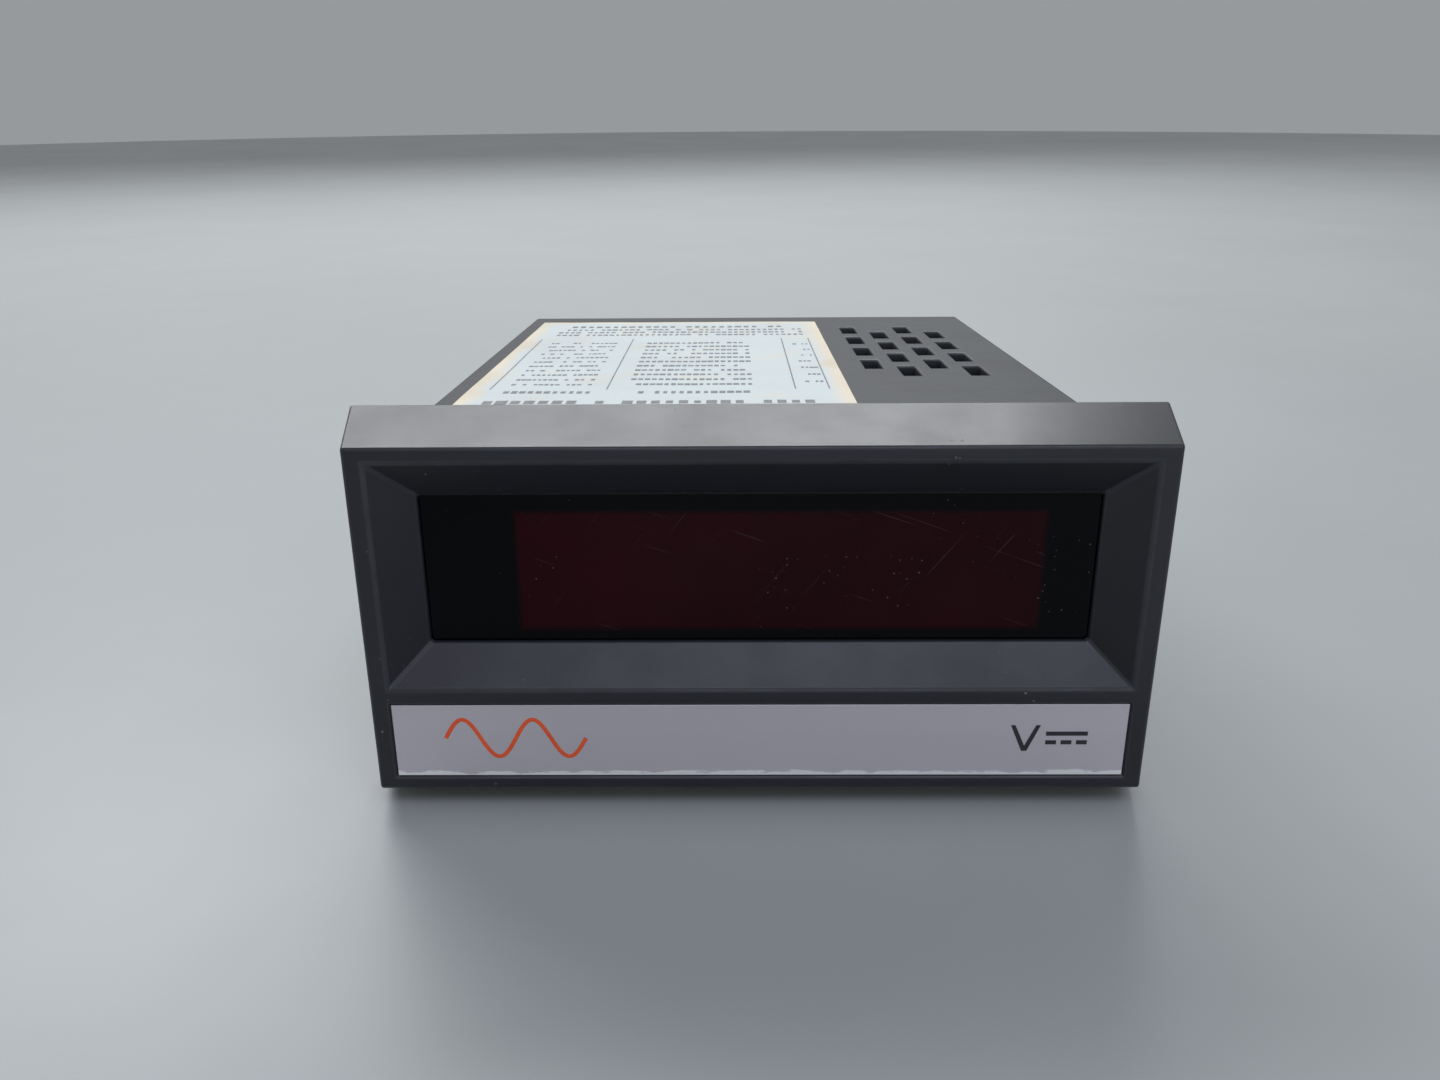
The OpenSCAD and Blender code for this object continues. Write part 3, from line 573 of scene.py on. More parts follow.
# Typewriter grey on coated paper, patchy
PRINT_INK = Finish("grey_print_ink", "paper_label", "#6d7076", "#8f9296", 1.0, (0.5, 0.7),
                   0.1, 0.002)
DARK_PRINT = Finish("dark_print_ink", "paper_label", "#33353a", "#4a4c52", 1.0, (0.5, 0.7),
                    0.1, 0.002)
# Black housing of a light-emitting digit, matte moulded
DIGIT_BLACK = Finish("matte_digit_housing", "digit_housing", "#1c1a1c", "#242124", 4,
                     (0.5, 0.65), 0.2, 0.004)
# Unlit diffusing resin: pinkish and soft
SEGMENT = Finish("diffused_segment_resin", "segment_resin", "#8c4a48", "#7a3c3c", 2,
                 (0.3, 0.4), 0.1, 0.002)
# Glass-filled epoxy of chips: fine ground texture
CHIP = Finish("ground_chip_epoxy", "chip_epoxy", "#1d1d1f", "#26262a", 3, (0.45, 0.6),
              0.12, 0.004)
NETWORK = Finish("blue_network_epoxy", "network_epoxy", "#2f3a78", "#28326a", 3, (0.35, 0.5),
                 0.15, 0.004)
NYLON = Finish("black_glass_nylon", "black_nylon", "#1a1a1c", "#232325", 4, (0.4, 0.55),
               0.2, 0.005)
# Solder-dipped copper and brass: soft, cloudy silver
TIN = Finish("dipped_tin", "tinned_metal", "#c9c6bd", "#aca89c", 1.2, (0.24, 0.42), 0.2,
             0.004, metallic=1.0)
GOLD = Finish("thin_gold_flash", "gold_plate", "#d9b25a", "#c79f4a", 1.0, (0.2, 0.32), 0.15,
              0.002, metallic=1.0)
NICKEL = Finish("drawn_nickel_can", "nickel_can", "#bdbab2", "#a8a59d", 4, (0.2, 0.34), 0.3,
                0.004, metallic=1.0, stretch=(1, 1, 0.2))
FILM = Finish("dipped_film_epoxy", "film_coating", "#c28a26", "#b07a1e", 2.5, (0.18, 0.3),
              1.2, 0.05)
CERAMIC = Finish("dipped_ceramic_epoxy", "ceramic_coating", "#b5702f", "#a26228", 1.5,
                 (0.25, 0.4), 0.6, 0.03)
TAN = Finish("tan_resistor_paint", "resistor_coating", "#c3a271", "#b59462", 1.5,
             (0.35, 0.5), 0.3, 0.01)
BROWN_BAND = Finish("brown_band_paint", "resistor_coating", "#5a2f1a", "#4c2816", 1.0,
                    (0.35, 0.5), 0.3, 0.006)
RED_BAND = Finish("red_band_paint", "resistor_coating", "#a2241c", "#8f1f18", 1.0,
                  (0.35, 0.5), 0.3, 0.006)
GOLD_BAND = Finish("gold_band_paint", "resistor_coating", "#b08a3c", "#9c7a34", 1.0,
                   (0.3, 0.4), 0.3, 0.006, metallic=0.6)
BLUE_FILM = Finish("blue_precision_paint", "precision_coating", "#3e6f95", "#376488", 1.5,
                   (0.3, 0.42), 0.3, 0.008)
BLACK_BAND = Finish("black_band_paint", "precision_coating", "#16161a", "#1f1f24", 1.0,
                    (0.35, 0.5), 0.3, 0.006)
# Varnished silicon steel: brown-grey with sheared edges
STEEL_PLATE = Finish("varnished_core_steel", "lamination_steel", "#6f675c", "#5a5248", 3,
                     (0.35, 0.5), 0.25, 0.008, metallic=0.75)
BOBBIN = Finish("natural_nylon", "bobbin_nylon", "#ddd5bf", "#cfc6ad", 4, (0.38, 0.5), 0.3,
                0.006)
# Yellow polyester tape wound over the coils: glossy, with overlapping edges
TAPE = LayeredFinish("yellow_polyester_tape", "winding_tape", "#d2b536", "#c0a22c", 3,
                     (0.14, 0.24), 0.3, 0.05, axis=2, pitch=3.1, groove="#8f7820")
CAN_SLEEVE = Finish("blue_shrink_sleeve", "capacitor_sleeve", "#26386c", "#203060", 3,
                    (0.16, 0.26), 0.5, 0.01)
CAN_STRIPE = Finish("pale_sleeve_stripe", "capacitor_sleeve", "#b9c3d4", "#aab5c8", 3,
                    (0.18, 0.28), 0.5, 0.01)
CAN_TOP = Finish("scored_can_top", "capacitor_sleeve", "#c3c4c6", "#aeb0b3", 2, (0.25, 0.4),
                 0.25, 0.006, metallic=1.0)
SINK = Finish("bead_blasted_aluminium", "sink_aluminium", "#a2a4a6", "#8f9194", 5,
              (0.38, 0.52), 0.2, 0.008, metallic=1.0)
ZINC = Finish("bright_zinc_plate", "zinc_steel", "#c4c6cb", "#a9abb4", 2.5, (0.2, 0.36),
              0.3, 0.005, metallic=1.0)
GLASS = Finish("clear_fuse_glass", "fuse_glass", "#eef4f4", "#e6eeee", 4, (0.01, 0.04), 0.8,
               0.001, transmission=0.92, ior=1.5)
TRIM_BLUE = Finish("blue_trimmer_moulding", "trimmer_plastic", "#2450a0", "#1e468e", 2.5,
                   (0.28, 0.4), 0.2, 0.004)
BRASS = Finish("turned_brass", "trimmer_brass", "#c6a052", "#b08c42", 1.0, (0.2, 0.34), 0.1,
               0.003, metallic=1.0, stretch=(1, 6, 1))
REAR = Finish("moulded_rear_plate", "rear_plastic", "#2f3236", "#282b2f", 9, (0.42, 0.55),
              0.35, 0.01, dust=0.35)
TERMINAL = Finish("black_phenolic", "terminal_plastic", "#19191c", "#212124", 5, (0.3, 0.44),
                  0.3, 0.006, dust=0.3)
BOARD = BoardFinish("green_mask_board", "circuit_board", "#1f5a38", "#1a5033", 8, (0.26, 0.38),
                    0.25, 0.006)
UPRIGHT_BOARD = BoardFinish("green_mask_upright", "circuit_board", "#1f5a38", "#1a5033", 8,
                            (0.26, 0.38), 0.25, 0.006, across=2)


def dress(node: str, finish: Finish) -> None:
    """Gives a carried-over CAD node its finish.

    Args:
        node: the node's name.
        finish: what it is made of.
    """
    obj = frame["nodes"][node]
    if obj.material_slots:
        for slot in obj.material_slots:
            slot.material = finish.material()
    else:
        obj.data.materials.append(finish.material())
    LOG.info("%s: dressed in %s", node, finish.name)


def place(obj: Object, body: str, slot: str, *nodes: str) -> Object:
    """Puts a finished piece on its body.

    Args:
        obj: the piece.
        body: the body it rides on.
        slot: the record's material slot; not used.
        *nodes: CAD nodes that it stands for.

    Returns:
        The same piece.
    """
    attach(obj, body)
    if nodes:
        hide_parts(*nodes)
    LOG.info("%s: %d faces on %s", obj.name, len(obj.data.polygons), body)
    return obj


# ---- Geometry node trees ----


@dataclass
class NodeShape:
    """A geometry tree with named inputs, run once over a mesh to a plain mesh."""

    name: str
    values: dict[str, object] = field(default_factory=dict)

    def __post_init__(self) -> None:
        """Starts the tree with its geometry sockets and one input for each value."""
        kinds = {float: "NodeSocketFloat", int: "NodeSocketInt",
                 Object: "NodeSocketObject", Vector: "NodeSocketVector"}
        self.tree = bpy.data.node_groups.new(self.name, "GeometryNodeTree")
        face = self.tree.interface
        face.new_socket("Geometry", in_out="INPUT", socket_type="NodeSocketGeometry")
        face.new_socket("Geometry", in_out="OUTPUT", socket_type="NodeSocketGeometry")
        self.keys = {}
        for label, value in self.values.items():
            socket = face.new_socket(label, in_out="INPUT", socket_type=kinds[type(value)])
            self.keys[label] = socket.identifier
        self.source = self.tree.nodes.new("NodeGroupInput")

    def add(self, kind: str, inputs: dict | None = None,
            **settings: object) -> bpy.types.Node:
        """Adds a node to the tree."""
        return add_node(self.tree, kind, inputs, **settings)

    def value(self, label: str) -> Socket:
        """Returns the socket of a named input."""
        return self.source.outputs[label]

    def end(self, geometry: Socket,
            mats: Sequence[bpy.types.Material]) -> None:
        """Closes the tree with Realize Instances and one Set Material for each slot.

        Args:
            geometry: what has been built.
            mats: materials, in the order of the material indices.
        """
        flow = self.add("GeometryNodeRealizeInstances", {0: geometry}).outputs[0]
        index = self.add("GeometryNodeInputMaterialIndex").outputs[0]
        for place_no, mat in enumerate(mats):
            inputs: dict = {"Geometry": flow}
            if len(mats) > 1:
                same = self.add("FunctionNodeCompare", {2: index, 3: place_no},
                                data_type="INT", operation="EQUAL")
                inputs["Selection"] = same.outputs[0]
            paint = self.add("GeometryNodeSetMaterial", inputs)
            paint.inputs["Material"].default_value = mat
            flow = paint.outputs[0]
        sink = self.tree.nodes.new("NodeGroupOutput")
        self.tree.links.new(flow, sink.inputs[0])

    def run(self, points: Sequence[Vector] = (Vector((0, 0, 0)),)) -> Object:
        """Runs the tree over loose points.

        Args:
            points: where it stands its instances, in millimetres.

        Returns:
            A plain mesh object with the tree's result.
        """
        bm = bmesh.new()
        for point in points:
            bm.verts.new(Vector(point) * MM)
        carrier = link_mesh(self.name + "_carrier", bm, [])
        modifier = carrier.modifiers.new(self.name, "NODES")
        modifier.node_group = self.tree
        for label, value in self.values.items():
            modifier[self.keys[label]] = value
        return plain(carrier, self.name)


def scatter(name: str, part: Object, places: Sequence[Vector]) -> Object:
    """Stands copies of a part on places.

    Args:
        name: the new piece's name.
        part: the part, about its own origin; it is removed.
        places: where the copies go, in millimetres.

    Returns:
        One plain mesh of all the copies.
    """
    shape = NodeShape(name, {"Part": part})
    info = shape.add("GeometryNodeObjectInfo", {
        "Object": shape.value("Part"), "As Instance": True}, transform_space="ORIGINAL")
    dots = shape.add("GeometryNodeMeshToPoints", {"Mesh": shape.value("Geometry")})
    copies = shape.add("GeometryNodeInstanceOnPoints", {
        "Points": dots, "Instance": info.outputs["Geometry"]})
    shape.end(copies.outputs[0], list(part.data.materials))
    made = shape.run(places)
    bpy.data.objects.remove(part)
    return made


def row(name: str, part: Object, count: int, start: Vector, step: Vector,
        jitter: float, seed: int) -> Object:
    """Repeats a part along a straight row with a little disorder.

    Args:
        name: the new piece's name.
        part: the part, about its own origin; it is removed.
        count: how many copies.
        start: the first copy's place, in millimetres.
        step: from one copy to the next, in millimetres.
        jitter: the most that a copy sits off across the row, in millimetres.
        seed: fixes the disorder.

    Returns:
        One plain mesh of the row.
    """
    shape = NodeShape(name, {"Part": part, "Count": count, "Start": start * MM,
                             "Step": step * MM, "Jitter": jitter * MM, "Seed": seed})
    info = shape.add("GeometryNodeObjectInfo", {
        "Object": shape.value("Part"), "As Instance": True}, transform_space="ORIGINAL")
    line = shape.add("GeometryNodeMeshLine", {
        "Count": shape.value("Count"), "Start Location": shape.value("Start"),
        "Offset": shape.value("Step")}, mode="OFFSET")
    low = shape.add("ShaderNodeMath", {0: shape.value("Jitter"), 1: -1.0},
                    operation="MULTIPLY")
    pushes = [shape.add("FunctionNodeRandomValue", {
        2: low, 3: shape.value("Jitter"), "Seed": shape.value("Seed"),
        "ID": shape.add("ShaderNodeMath", {
            0: shape.add("GeometryNodeInputIndex").outputs[0], 1: 100.0 * k},
            operation="ADD").outputs[0]}, data_type="FLOAT").outputs[1] for k in (1, 2)]
    push = shape.add("ShaderNodeCombineXYZ", {0: pushes[0], 2: pushes[1]})
    loose = shape.add("GeometryNodeSetPosition", {
        "Geometry": line, "Offset": push})
    copies = shape.add("GeometryNodeInstanceOnPoints", {
        "Points": loose, "Instance": info.outputs["Geometry"]})
    shape.end(copies.outputs[0], list(part.data.materials))
    made = shape.run()
    bpy.data.objects.remove(part)
    return made


# ---- Solid shapes in mesh code ----


class Shape:
    """A mesh under construction, in millimetres about its own origin."""

    def __init__(self, *finishes: Finish) -> None:
        """Starts empty, with its finishes in slot order."""
        self.finishes = finishes
        self.bm = bmesh.new()

    def _stamp(self, before: set, slot: int) -> None:
        """Gives the faces made since before their material slot."""
        for face in self.bm.faces:
            if face not in before:
                face.material_index = slot

    def block(self, lo: Sequence[float], hi: Sequence[float], slot: int = 0) -> "Shape":
        """Adds a block between two corners.

        Args:
            lo: its lowest corner.
            hi: its highest corner.
            slot: its finish.

        Returns:
            The same shape.
        """
        before = set(self.bm.faces)
        lo, hi = Vector(lo), Vector(hi)
        bmesh.ops.create_cube(self.bm, size=1.0, matrix=Matrix.Translation(
            (lo + hi) / 2) @ Matrix.Diagonal((*(hi - lo), 1.0)))
        self._stamp(before, slot)
        return self

    def turned(self, profile: Sequence[tuple[float, float]], axis: Axis,
               at: Sequence[float] = (0, 0, 0), slot: int | Sequence[int] = 0,
               sides: int = 24) -> "Shape":
        """Adds a closed turned shape.

        Args:
            profile: (radius, height) pairs from one end to the other; a zero radius
                closes an end to a point.
            axis: the direction of the heights.
            at: where the axis starts.
            slot: its finish, or one for each step of the profile.
            sides: how many sides it has.

        Returns:
            The same shape.
        """
        turn = {Axis.Z: Matrix.Identity(3), Axis.X: Matrix(((0, 0, 1), (1, 0, 0), (0, 1, 0))),
                Axis.Y: Matrix(((0, 1, 0), (0, 0, 1), (1, 0, 0)))}[axis]
        rings = []
        for radius, height in profile:
            count = sides if radius > 1e-6 else 1
            rings.append([self.bm.verts.new(Vector(at) + turn @ Vector((
                radius * math.cos(math.tau * k / sides),
                radius * math.sin(math.tau * k / sides), height))) for k in range(count)])
        for step, (a, b) in enumerate(zip(rings, rings[1:])):
            mark = slot if isinstance(slot, int) else slot[step]
            for k in range(sides):
                ring = [a[k % len(a)], a[(k + 1) % len(a)], b[(k + 1) % len(b)],
                        b[k % len(b)]]
                unique = list(dict.fromkeys(ring))
                if len(unique) > 2:
                    self.bm.faces.new(unique).material_index = mark
        return self

    def wire(self, path: Sequence[Sequence[float]], radius: float, slot: int = 0,
             sides: int = 8) -> "Shape":
        """Adds a round wire along a bent path.

        Args:
            path: its corners.
            radius: of the wire.
            slot: its finish.
            sides: how many sides it has.

        Returns:
            The same shape.
        """
        points = [Vector(p) for p in path]
        rings = []
        side = None
        for k, point in enumerate(points):
            ahead = points[min(k + 1, len(points) - 1)] - points[max(k - 1, 0)]
            ahead.normalize()
            if side is None:
                side = ahead.orthogonal().normalized()
            side = (side - ahead * side.dot(ahead)).normalized()
            other = ahead.cross(side)
            rings.append([self.bm.verts.new(point + radius * (
                side * math.cos(math.tau * j / sides)
                + other * math.sin(math.tau * j / sides))) for j in range(sides)])
        for a, b in zip(rings, rings[1:]):
            for j in range(sides):
                self.bm.faces.new((a[j], a[(j + 1) % sides], b[(j + 1) % sides],
                                   b[j])).material_index = slot
        for ring in (rings[0], rings[-1]):
            self.bm.faces.new(ring).material_index = slot
        return self

    def pillow(self, lo: Sequence[float], hi: Sequence[float], slot: int = 0,
               bulge: float = 0.5) -> "Shape":
        """Adds a dipped, rounded block, such as a coated capacitor.

        Args:
            lo: its lowest corner.
            hi: its highest corner.
            slot: its finish.
            bulge: width of its rounded edges.

        Returns:
            The same shape.
        """
        before = set(self.bm.faces)
        lo, hi = Vector(lo), Vector(hi)
        made = bmesh.ops.create_cube(self.bm, size=1.0, matrix=Matrix.Translation(
            (lo + hi) / 2) @ Matrix.Diagonal((*(hi - lo), 1.0)))
        edges = {e for v in made["verts"] for e in v.link_edges}
        bmesh.ops.bevel(self.bm, geom=list(edges), offset=bulge, segments=5,
                        affect="EDGES", profile=0.5)
        self._stamp(before, slot)
        return self

    def build(self, name: str, angle: float = 35.0) -> Object:
        """Makes the object.

        Args:
            name: the piece's name.
            angle: edges sharper than this stay sharp, in degrees.

        Returns:
            The object at the origin, in metres.
        """
        bmesh.ops.scale(self.bm, vec=(MM, MM, MM), verts=self.bm.verts)
        bmesh.ops.remove_doubles(self.bm, verts=self.bm.verts, dist=1e-7)
        bmesh.ops.recalc_face_normals(self.bm, faces=self.bm.faces)
        return smooth(link_mesh(name, self.bm, [f.material() for f in self.finishes]), angle)


@dataclass
class Softened:
    """A CAD node's own shape with rounded edges, as a moulding or a stamping has.

    pick gives a face's finish from its middle and normal in millimetres; reshape moves
    the copy's vertices before the edges are rounded.
    """

    name: str
    node: str
    width: float
    finishes: Sequence[Finish]
    segments: int = 2
    edge: Finish | None = None
    pick: Callable[[Vector, Vector], int] | None = None
    reshape: Callable[[Vector], Vector] | None = None
    clamp: bool = True
    extra: Object | None = None

    def build(self) -> Object:
        """Builds the piece and puts it on the node's body in the node's place."""
        bm = bmesh.new()
        bm.from_mesh(frame["nodes"][self.node].data)
        bmesh.ops.remove_doubles(bm, verts=bm.verts, dist=WELD)
        bmesh.ops.dissolve_limit(bm, angle_limit=math.radians(1.0), verts=bm.verts,
                                 edges=bm.edges)
        bmesh.ops.triangulate(bm, faces=[f for f in bm.faces if len(f.verts) > 4])
        if self.reshape:
            for vert in bm.verts:
                vert.co = self.reshape(vert.co / MM) * MM
        for face in bm.faces:
            face.material_index = (self.pick(face.calc_center_median() / MM, face.normal)
                                   if self.pick else 0)
        mats = [f.material() for f in self.finishes]
        if self.edge:
            mats.append(self.edge.material())
        raw = link_mesh(self.name + "_raw", bm, mats)
        bevel = raw.modifiers.new("rounded", "BEVEL")
        bevel.width = self.width * MM
        bevel.segments = self.segments
        bevel.limit_method = "ANGLE"
        bevel.angle_limit = math.radians(32)
        bevel.use_clamp_overlap = self.clamp
        bevel.loop_slide = False
        if self.edge:
            bevel.material = len(mats) - 1
        even = raw.modifiers.new("even", "WEIGHTED_NORMAL")
        even.keep_sharp = True
        raw.data.shade_smooth()
        made = plain(raw, self.name)
        if self.extra:
            joined = bmesh.new()
            joined.from_mesh(made.data)
            joined.from_mesh(self.extra.data)
            joined.to_mesh(made.data)
            joined.free()
            bpy.data.objects.remove(self.extra)
            smooth(made, 40)
        return place(made, body_of(self.node), self.finishes[0].slot, self.node)


# ---- The case and its label ----


@dataclass
class Case:
    """The extruded sleeve and the paper label on its top."""

    edge_round: float = 0.35
    ripple: float = 0.11
    ripple_size: float = 17.0
    cell: float = 1.6
    lift: float = 0.03

    def sleeve(self) -> None:
        """Rounds the sleeve's edges and gives them wear."""
        Softened("sleeve_shell", "case_sleeve", self.edge_round, [SLEEVE], 2,
                 edge=SLEEVE_EDGE, clamp=False).build()

    def _wave(self, shape: NodeShape, height: float = 1.0) -> Socket:
        """Adds the label's ripple to a tree.

        Args:
            shape: the tree, with inputs "Ripple" and "Ripple size".
            height: a share of the ripple's height.

        Returns:
            The offset at each point.
        """
        spot = shape.add("GeometryNodeInputPosition").outputs[0]
        flat = shape.add("ShaderNodeVectorMath", {0: spot, 1: (1.0, 1.0, 0.0)},
                         operation="MULTIPLY")
        scale = shape.add("ShaderNodeMath", {0: 1.0, 1: shape.value("Ripple size")},
                          operation="DIVIDE")
        noise = shape.add("ShaderNodeTexNoise", {
            "Vector": flat, "Scale": scale, "Detail": 2.0})
        high = shape.add("ShaderNodeMapRange", {
            "Value": noise, 1: 0.3, 2: 0.7, 3: 0.0, 4: height})
        rise = shape.add("ShaderNodeMath", {0: high, 1: shape.value("Ripple")},
                         operation="MULTIPLY")
        return shape.add("ShaderNodeCombineXYZ", {2: rise}).outputs[0]

    def label(self) -> None:
        """Lays the rippled label."""
        lo, hi = node_box("rating_label")
        size = hi - lo
        paper = LabelFinish("coated_label_paper", "paper_label", "#e3ebe9", "#d6e0df", 18,
                            (0.32, 0.5), 0.5, 0.004, lo=tuple(lo), hi=tuple(hi))
        shape = NodeShape("label_sheet", {
            "Width": size.x * MM, "Length": size.y * MM, "Thickness": size.z * MM,
            "Middle": Vector(((lo.x + hi.x) / 2, (lo.y + hi.y) / 2, hi.z)) * MM,
            "Ripple": self.ripple * MM, "Ripple size": self.ripple_size * MM,
            "Columns": int(size.x / self.cell), "Rows": int(size.y / self.cell)})
        grid = shape.add("GeometryNodeMeshGrid", {
            "Size X": shape.value("Width"), "Size Y": shape.value("Length"),
            "Vertices X": shape.value("Columns"), "Vertices Y": shape.value("Rows")})
        put = shape.add("GeometryNodeTransform", {
            "Geometry": grid, "Translation": shape.value("Middle")})
        waved = shape.add("GeometryNodeSetPosition", {
            "Geometry": put, "Offset": self._wave(shape)})
        down = shape.add("ShaderNodeMath", {0: shape.value("Thickness"), 1: -1.0},
                         operation="MULTIPLY")
        fall = shape.add("ShaderNodeCombineXYZ", {2: down})
        base = shape.add("GeometryNodeTransform", {
            "Geometry": waved, "Translation": fall})
        back = shape.add("GeometryNodeFlipFaces", {"Mesh": base})
        sides = shape.add("GeometryNodeExtrudeMesh", {
            "Mesh": waved, "Selection": shape.add(
                "FunctionNodeCompare", {2: shape.add(
                    "GeometryNodeInputMeshEdgeNeighbors").outputs[0], 3: 1},
                data_type="INT", operation="EQUAL").outputs[0],
            "Offset": fall}, mode="EDGES")
        both = shape.add("GeometryNodeJoinGeometry")
        for part in (sides.outputs[0], back.outputs[0]):
            shape.tree.links.new(part, both.inputs[0])
        sheet = shape.add("GeometryNodeMergeByDistance", {
            "Geometry": both, "Distance": 0.02 * MM})
        shape.end(sheet.outputs[0], [paper.material()])
        place(smooth(shape.run(), 40), body_of("rating_label"), "paper_label",
              "rating_label")

    def print_rows(self, name: str, ink: Finish, corner: tuple[float, float],
                   cells: tuple[int, int], pitch: tuple[float, float],
                   dash: tuple[float, float, float], spaces: float,
                   seed: int) -> Object:
        """Prints rows of strokes of random width that stand for lines of small type.

        Args:
            name: the tree's name.
            ink: what it is printed in.
            corner: lowest x and y of the block of rows, in millimetres.
            cells: how many dashes in a row, and how many rows.
            pitch: from dash to dash and from row to row.
            dash: least and greatest share of a stroke in its cell, and its height.
            spaces: share of cells left empty, which parts the words.
            seed: fixes the lengths.

        Returns:
            The printed block.
        """
        top = node_box("rating_label")[1].z + self.lift
        shape = NodeShape(name, {
            "Columns": cells[0], "Rows": cells[1], "Pitch X": pitch[0] * MM,
            "Pitch Y": pitch[1] * MM, "Shortest": dash[0], "Longest": dash[1],
            "Height": dash[2] * MM, "Corner": Vector((*corner, top)) * MM,
            "Ripple": self.ripple * MM, "Ripple size": self.ripple_size * MM,
            "Spaces": spaces, "Seed": seed})
        spans = [shape.add("ShaderNodeMath", {
            0: shape.add("ShaderNodeMath", {0: shape.value(a), 1: -1.0},
                         operation="ADD").outputs[0], 1: shape.value(b)},
            operation="MULTIPLY").outputs[0]
            for a, b in (("Columns", "Pitch X"), ("Rows", "Pitch Y"))]
        grid = shape.add("GeometryNodeMeshGrid", {
            "Size X": spans[0], "Size Y": spans[1], "Vertices X": shape.value("Columns"),
            "Vertices Y": shape.value("Rows")})
        half = shape.add("ShaderNodeCombineXYZ", {0: spans[0], 1: spans[1]})
        shift = shape.add("ShaderNodeVectorMath", {0: half, 1: (0.5, 0.5, 0.5)},
                          operation="MULTIPLY")
        spot = shape.add("ShaderNodeVectorMath", {
            0: shift, 1: shape.value("Corner")}, operation="ADD")
        put = shape.add("GeometryNodeTransform", {
            "Geometry": grid, "Translation": spot})
        share = shape.add("FunctionNodeRandomValue", {
            2: shape.value("Shortest"), 3: shape.value("Longest"),
            "Seed": shape.value("Seed")}, data_type="FLOAT").outputs[1]
        space = shape.add("FunctionNodeRandomValue", {
            "Probability": shape.value("Spaces"), "Seed": shape.value("Seed")},
            data_type="BOOLEAN").outputs[3]
        words = shape.add("GeometryNodeDeleteGeometry", {
            "Geometry": put, "Selection": space}, domain="POINT")
        long = shape.add("ShaderNodeMath", {0: share, 1: shape.value("Pitch X")},
                         operation="MULTIPLY")
        tall = shape.add("FunctionNodeRandomValue", {
            2: 0.68, 3: 1.0, "Seed": 5}, data_type="FLOAT").outputs[1]
        high = shape.add("ShaderNodeMath", {0: tall, 1: shape.value("Height")},
                         operation="MULTIPLY")
        size = shape.add("ShaderNodeCombineXYZ", {
            0: long, 1: high, 2: 1.0})
        mark = shape.add("GeometryNodeMeshGrid", {
            "Size X": 1.0, "Size Y": 1.0, "Vertices X": 5, "Vertices Y": 2})
        copies = shape.add("GeometryNodeInstanceOnPoints", {
            "Points": words, "Instance": mark,
            "Scale": size})
        flat = shape.add("GeometryNodeRealizeInstances", {0: copies})
        waved = shape.add("GeometryNodeSetPosition", {
            "Geometry": flat, "Offset": self._wave(shape)})
        shape.end(waved.outputs[0], [ink.material()])
        return shape.run()

    def print(self) -> None:
        """Prints the label: four rules, columns of small rows and larger rows at each end."""
        lo, hi = node_box("rating_label")
        fat, thin = (0.45, 0.86, 2.6), (0.5, 0.95, 1.25)
        blocks = [
            (DARK_PRINT, (lo.x + 5, lo.y + 5.5), (17, 1), (2.25, 4.0), fat, 0.14, 3),
            (DARK_PRINT, (lo.x + 5, lo.y + 13), (24, 1), (2.15, 4.0), fat, 0.1, 5),
            (PRINT_INK, (lo.x + 6.5, lo.y + 20.5), (11, 1), (1.3, 3.2),
             (0.45, 0.9, 1.9), 0.08, 29),
            (PRINT_INK, (lo.x + 28, lo.y + 20.5), (15, 1), (1.3, 3.2),
             (0.45, 0.9, 1.9), 0.12, 31),
            (PRINT_INK, (lo.x + 6.5, lo.y + 27), (15, 11), (0.9, 4.3), thin, 0.3, 7),
            (DARK_PRINT, (lo.x + 26, lo.y + 27), (18, 11), (1.15, 4.3),
             (0.5, 0.92, 1.6), 0.1, 11),
            (PRINT_INK, (hi.x - 6.4, lo.y + 29), (4, 7), (0.8, 6.5), thin, 0.3, 13),
            (PRINT_INK, (lo.x + 6, hi.y - 19), (42, 3), (1.25, 3.6),
             (0.45, 0.92, 1.7), 0.17, 17),
            (DARK_PRINT, (lo.x + 8, hi.y - 7.5), (26, 1), (1.8, 3.4),
             (0.45, 0.86, 2.3), 0.15, 19)]
        parts = [self.print_rows("printed_rows_%d" % seed, ink, at, cells, pitch, dash,
                                 spaces, seed)
                 for ink, at, cells, pitch, dash, spaces, seed in blocks]
        for k, x in enumerate((3.4, 22.3, 52.8, 58.3)):
            parts.append(self.print_rows("printed_rule_%d" % k, PRINT_INK,
                                         (lo.x + x, lo.y + 23.4), (1, 50), (0.22, 1.05),
                                         (0.95, 1.0, 1.08), 0.0, 23 + k))
        merged = bmesh.new()
        mats = [PRINT_INK.material(), DARK_PRINT.material()]
        for part in parts:
            start = len(merged.faces)
            merged.from_mesh(part.data)
            merged.faces.ensure_lookup_table()
            dark = int(part.data.materials[0] == mats[1])
            for face in merged.faces[start:]:
                face.material_index = dark
            bpy.data.objects.remove(part)
        place(link_mesh("label_print", merged, mats), body_of("rating_label"),
              "paper_label")

    def build(self) -> None:
        """Builds the case's pieces."""
        self.sleeve()
        self.label()
        self.print()


# ---- The front ----


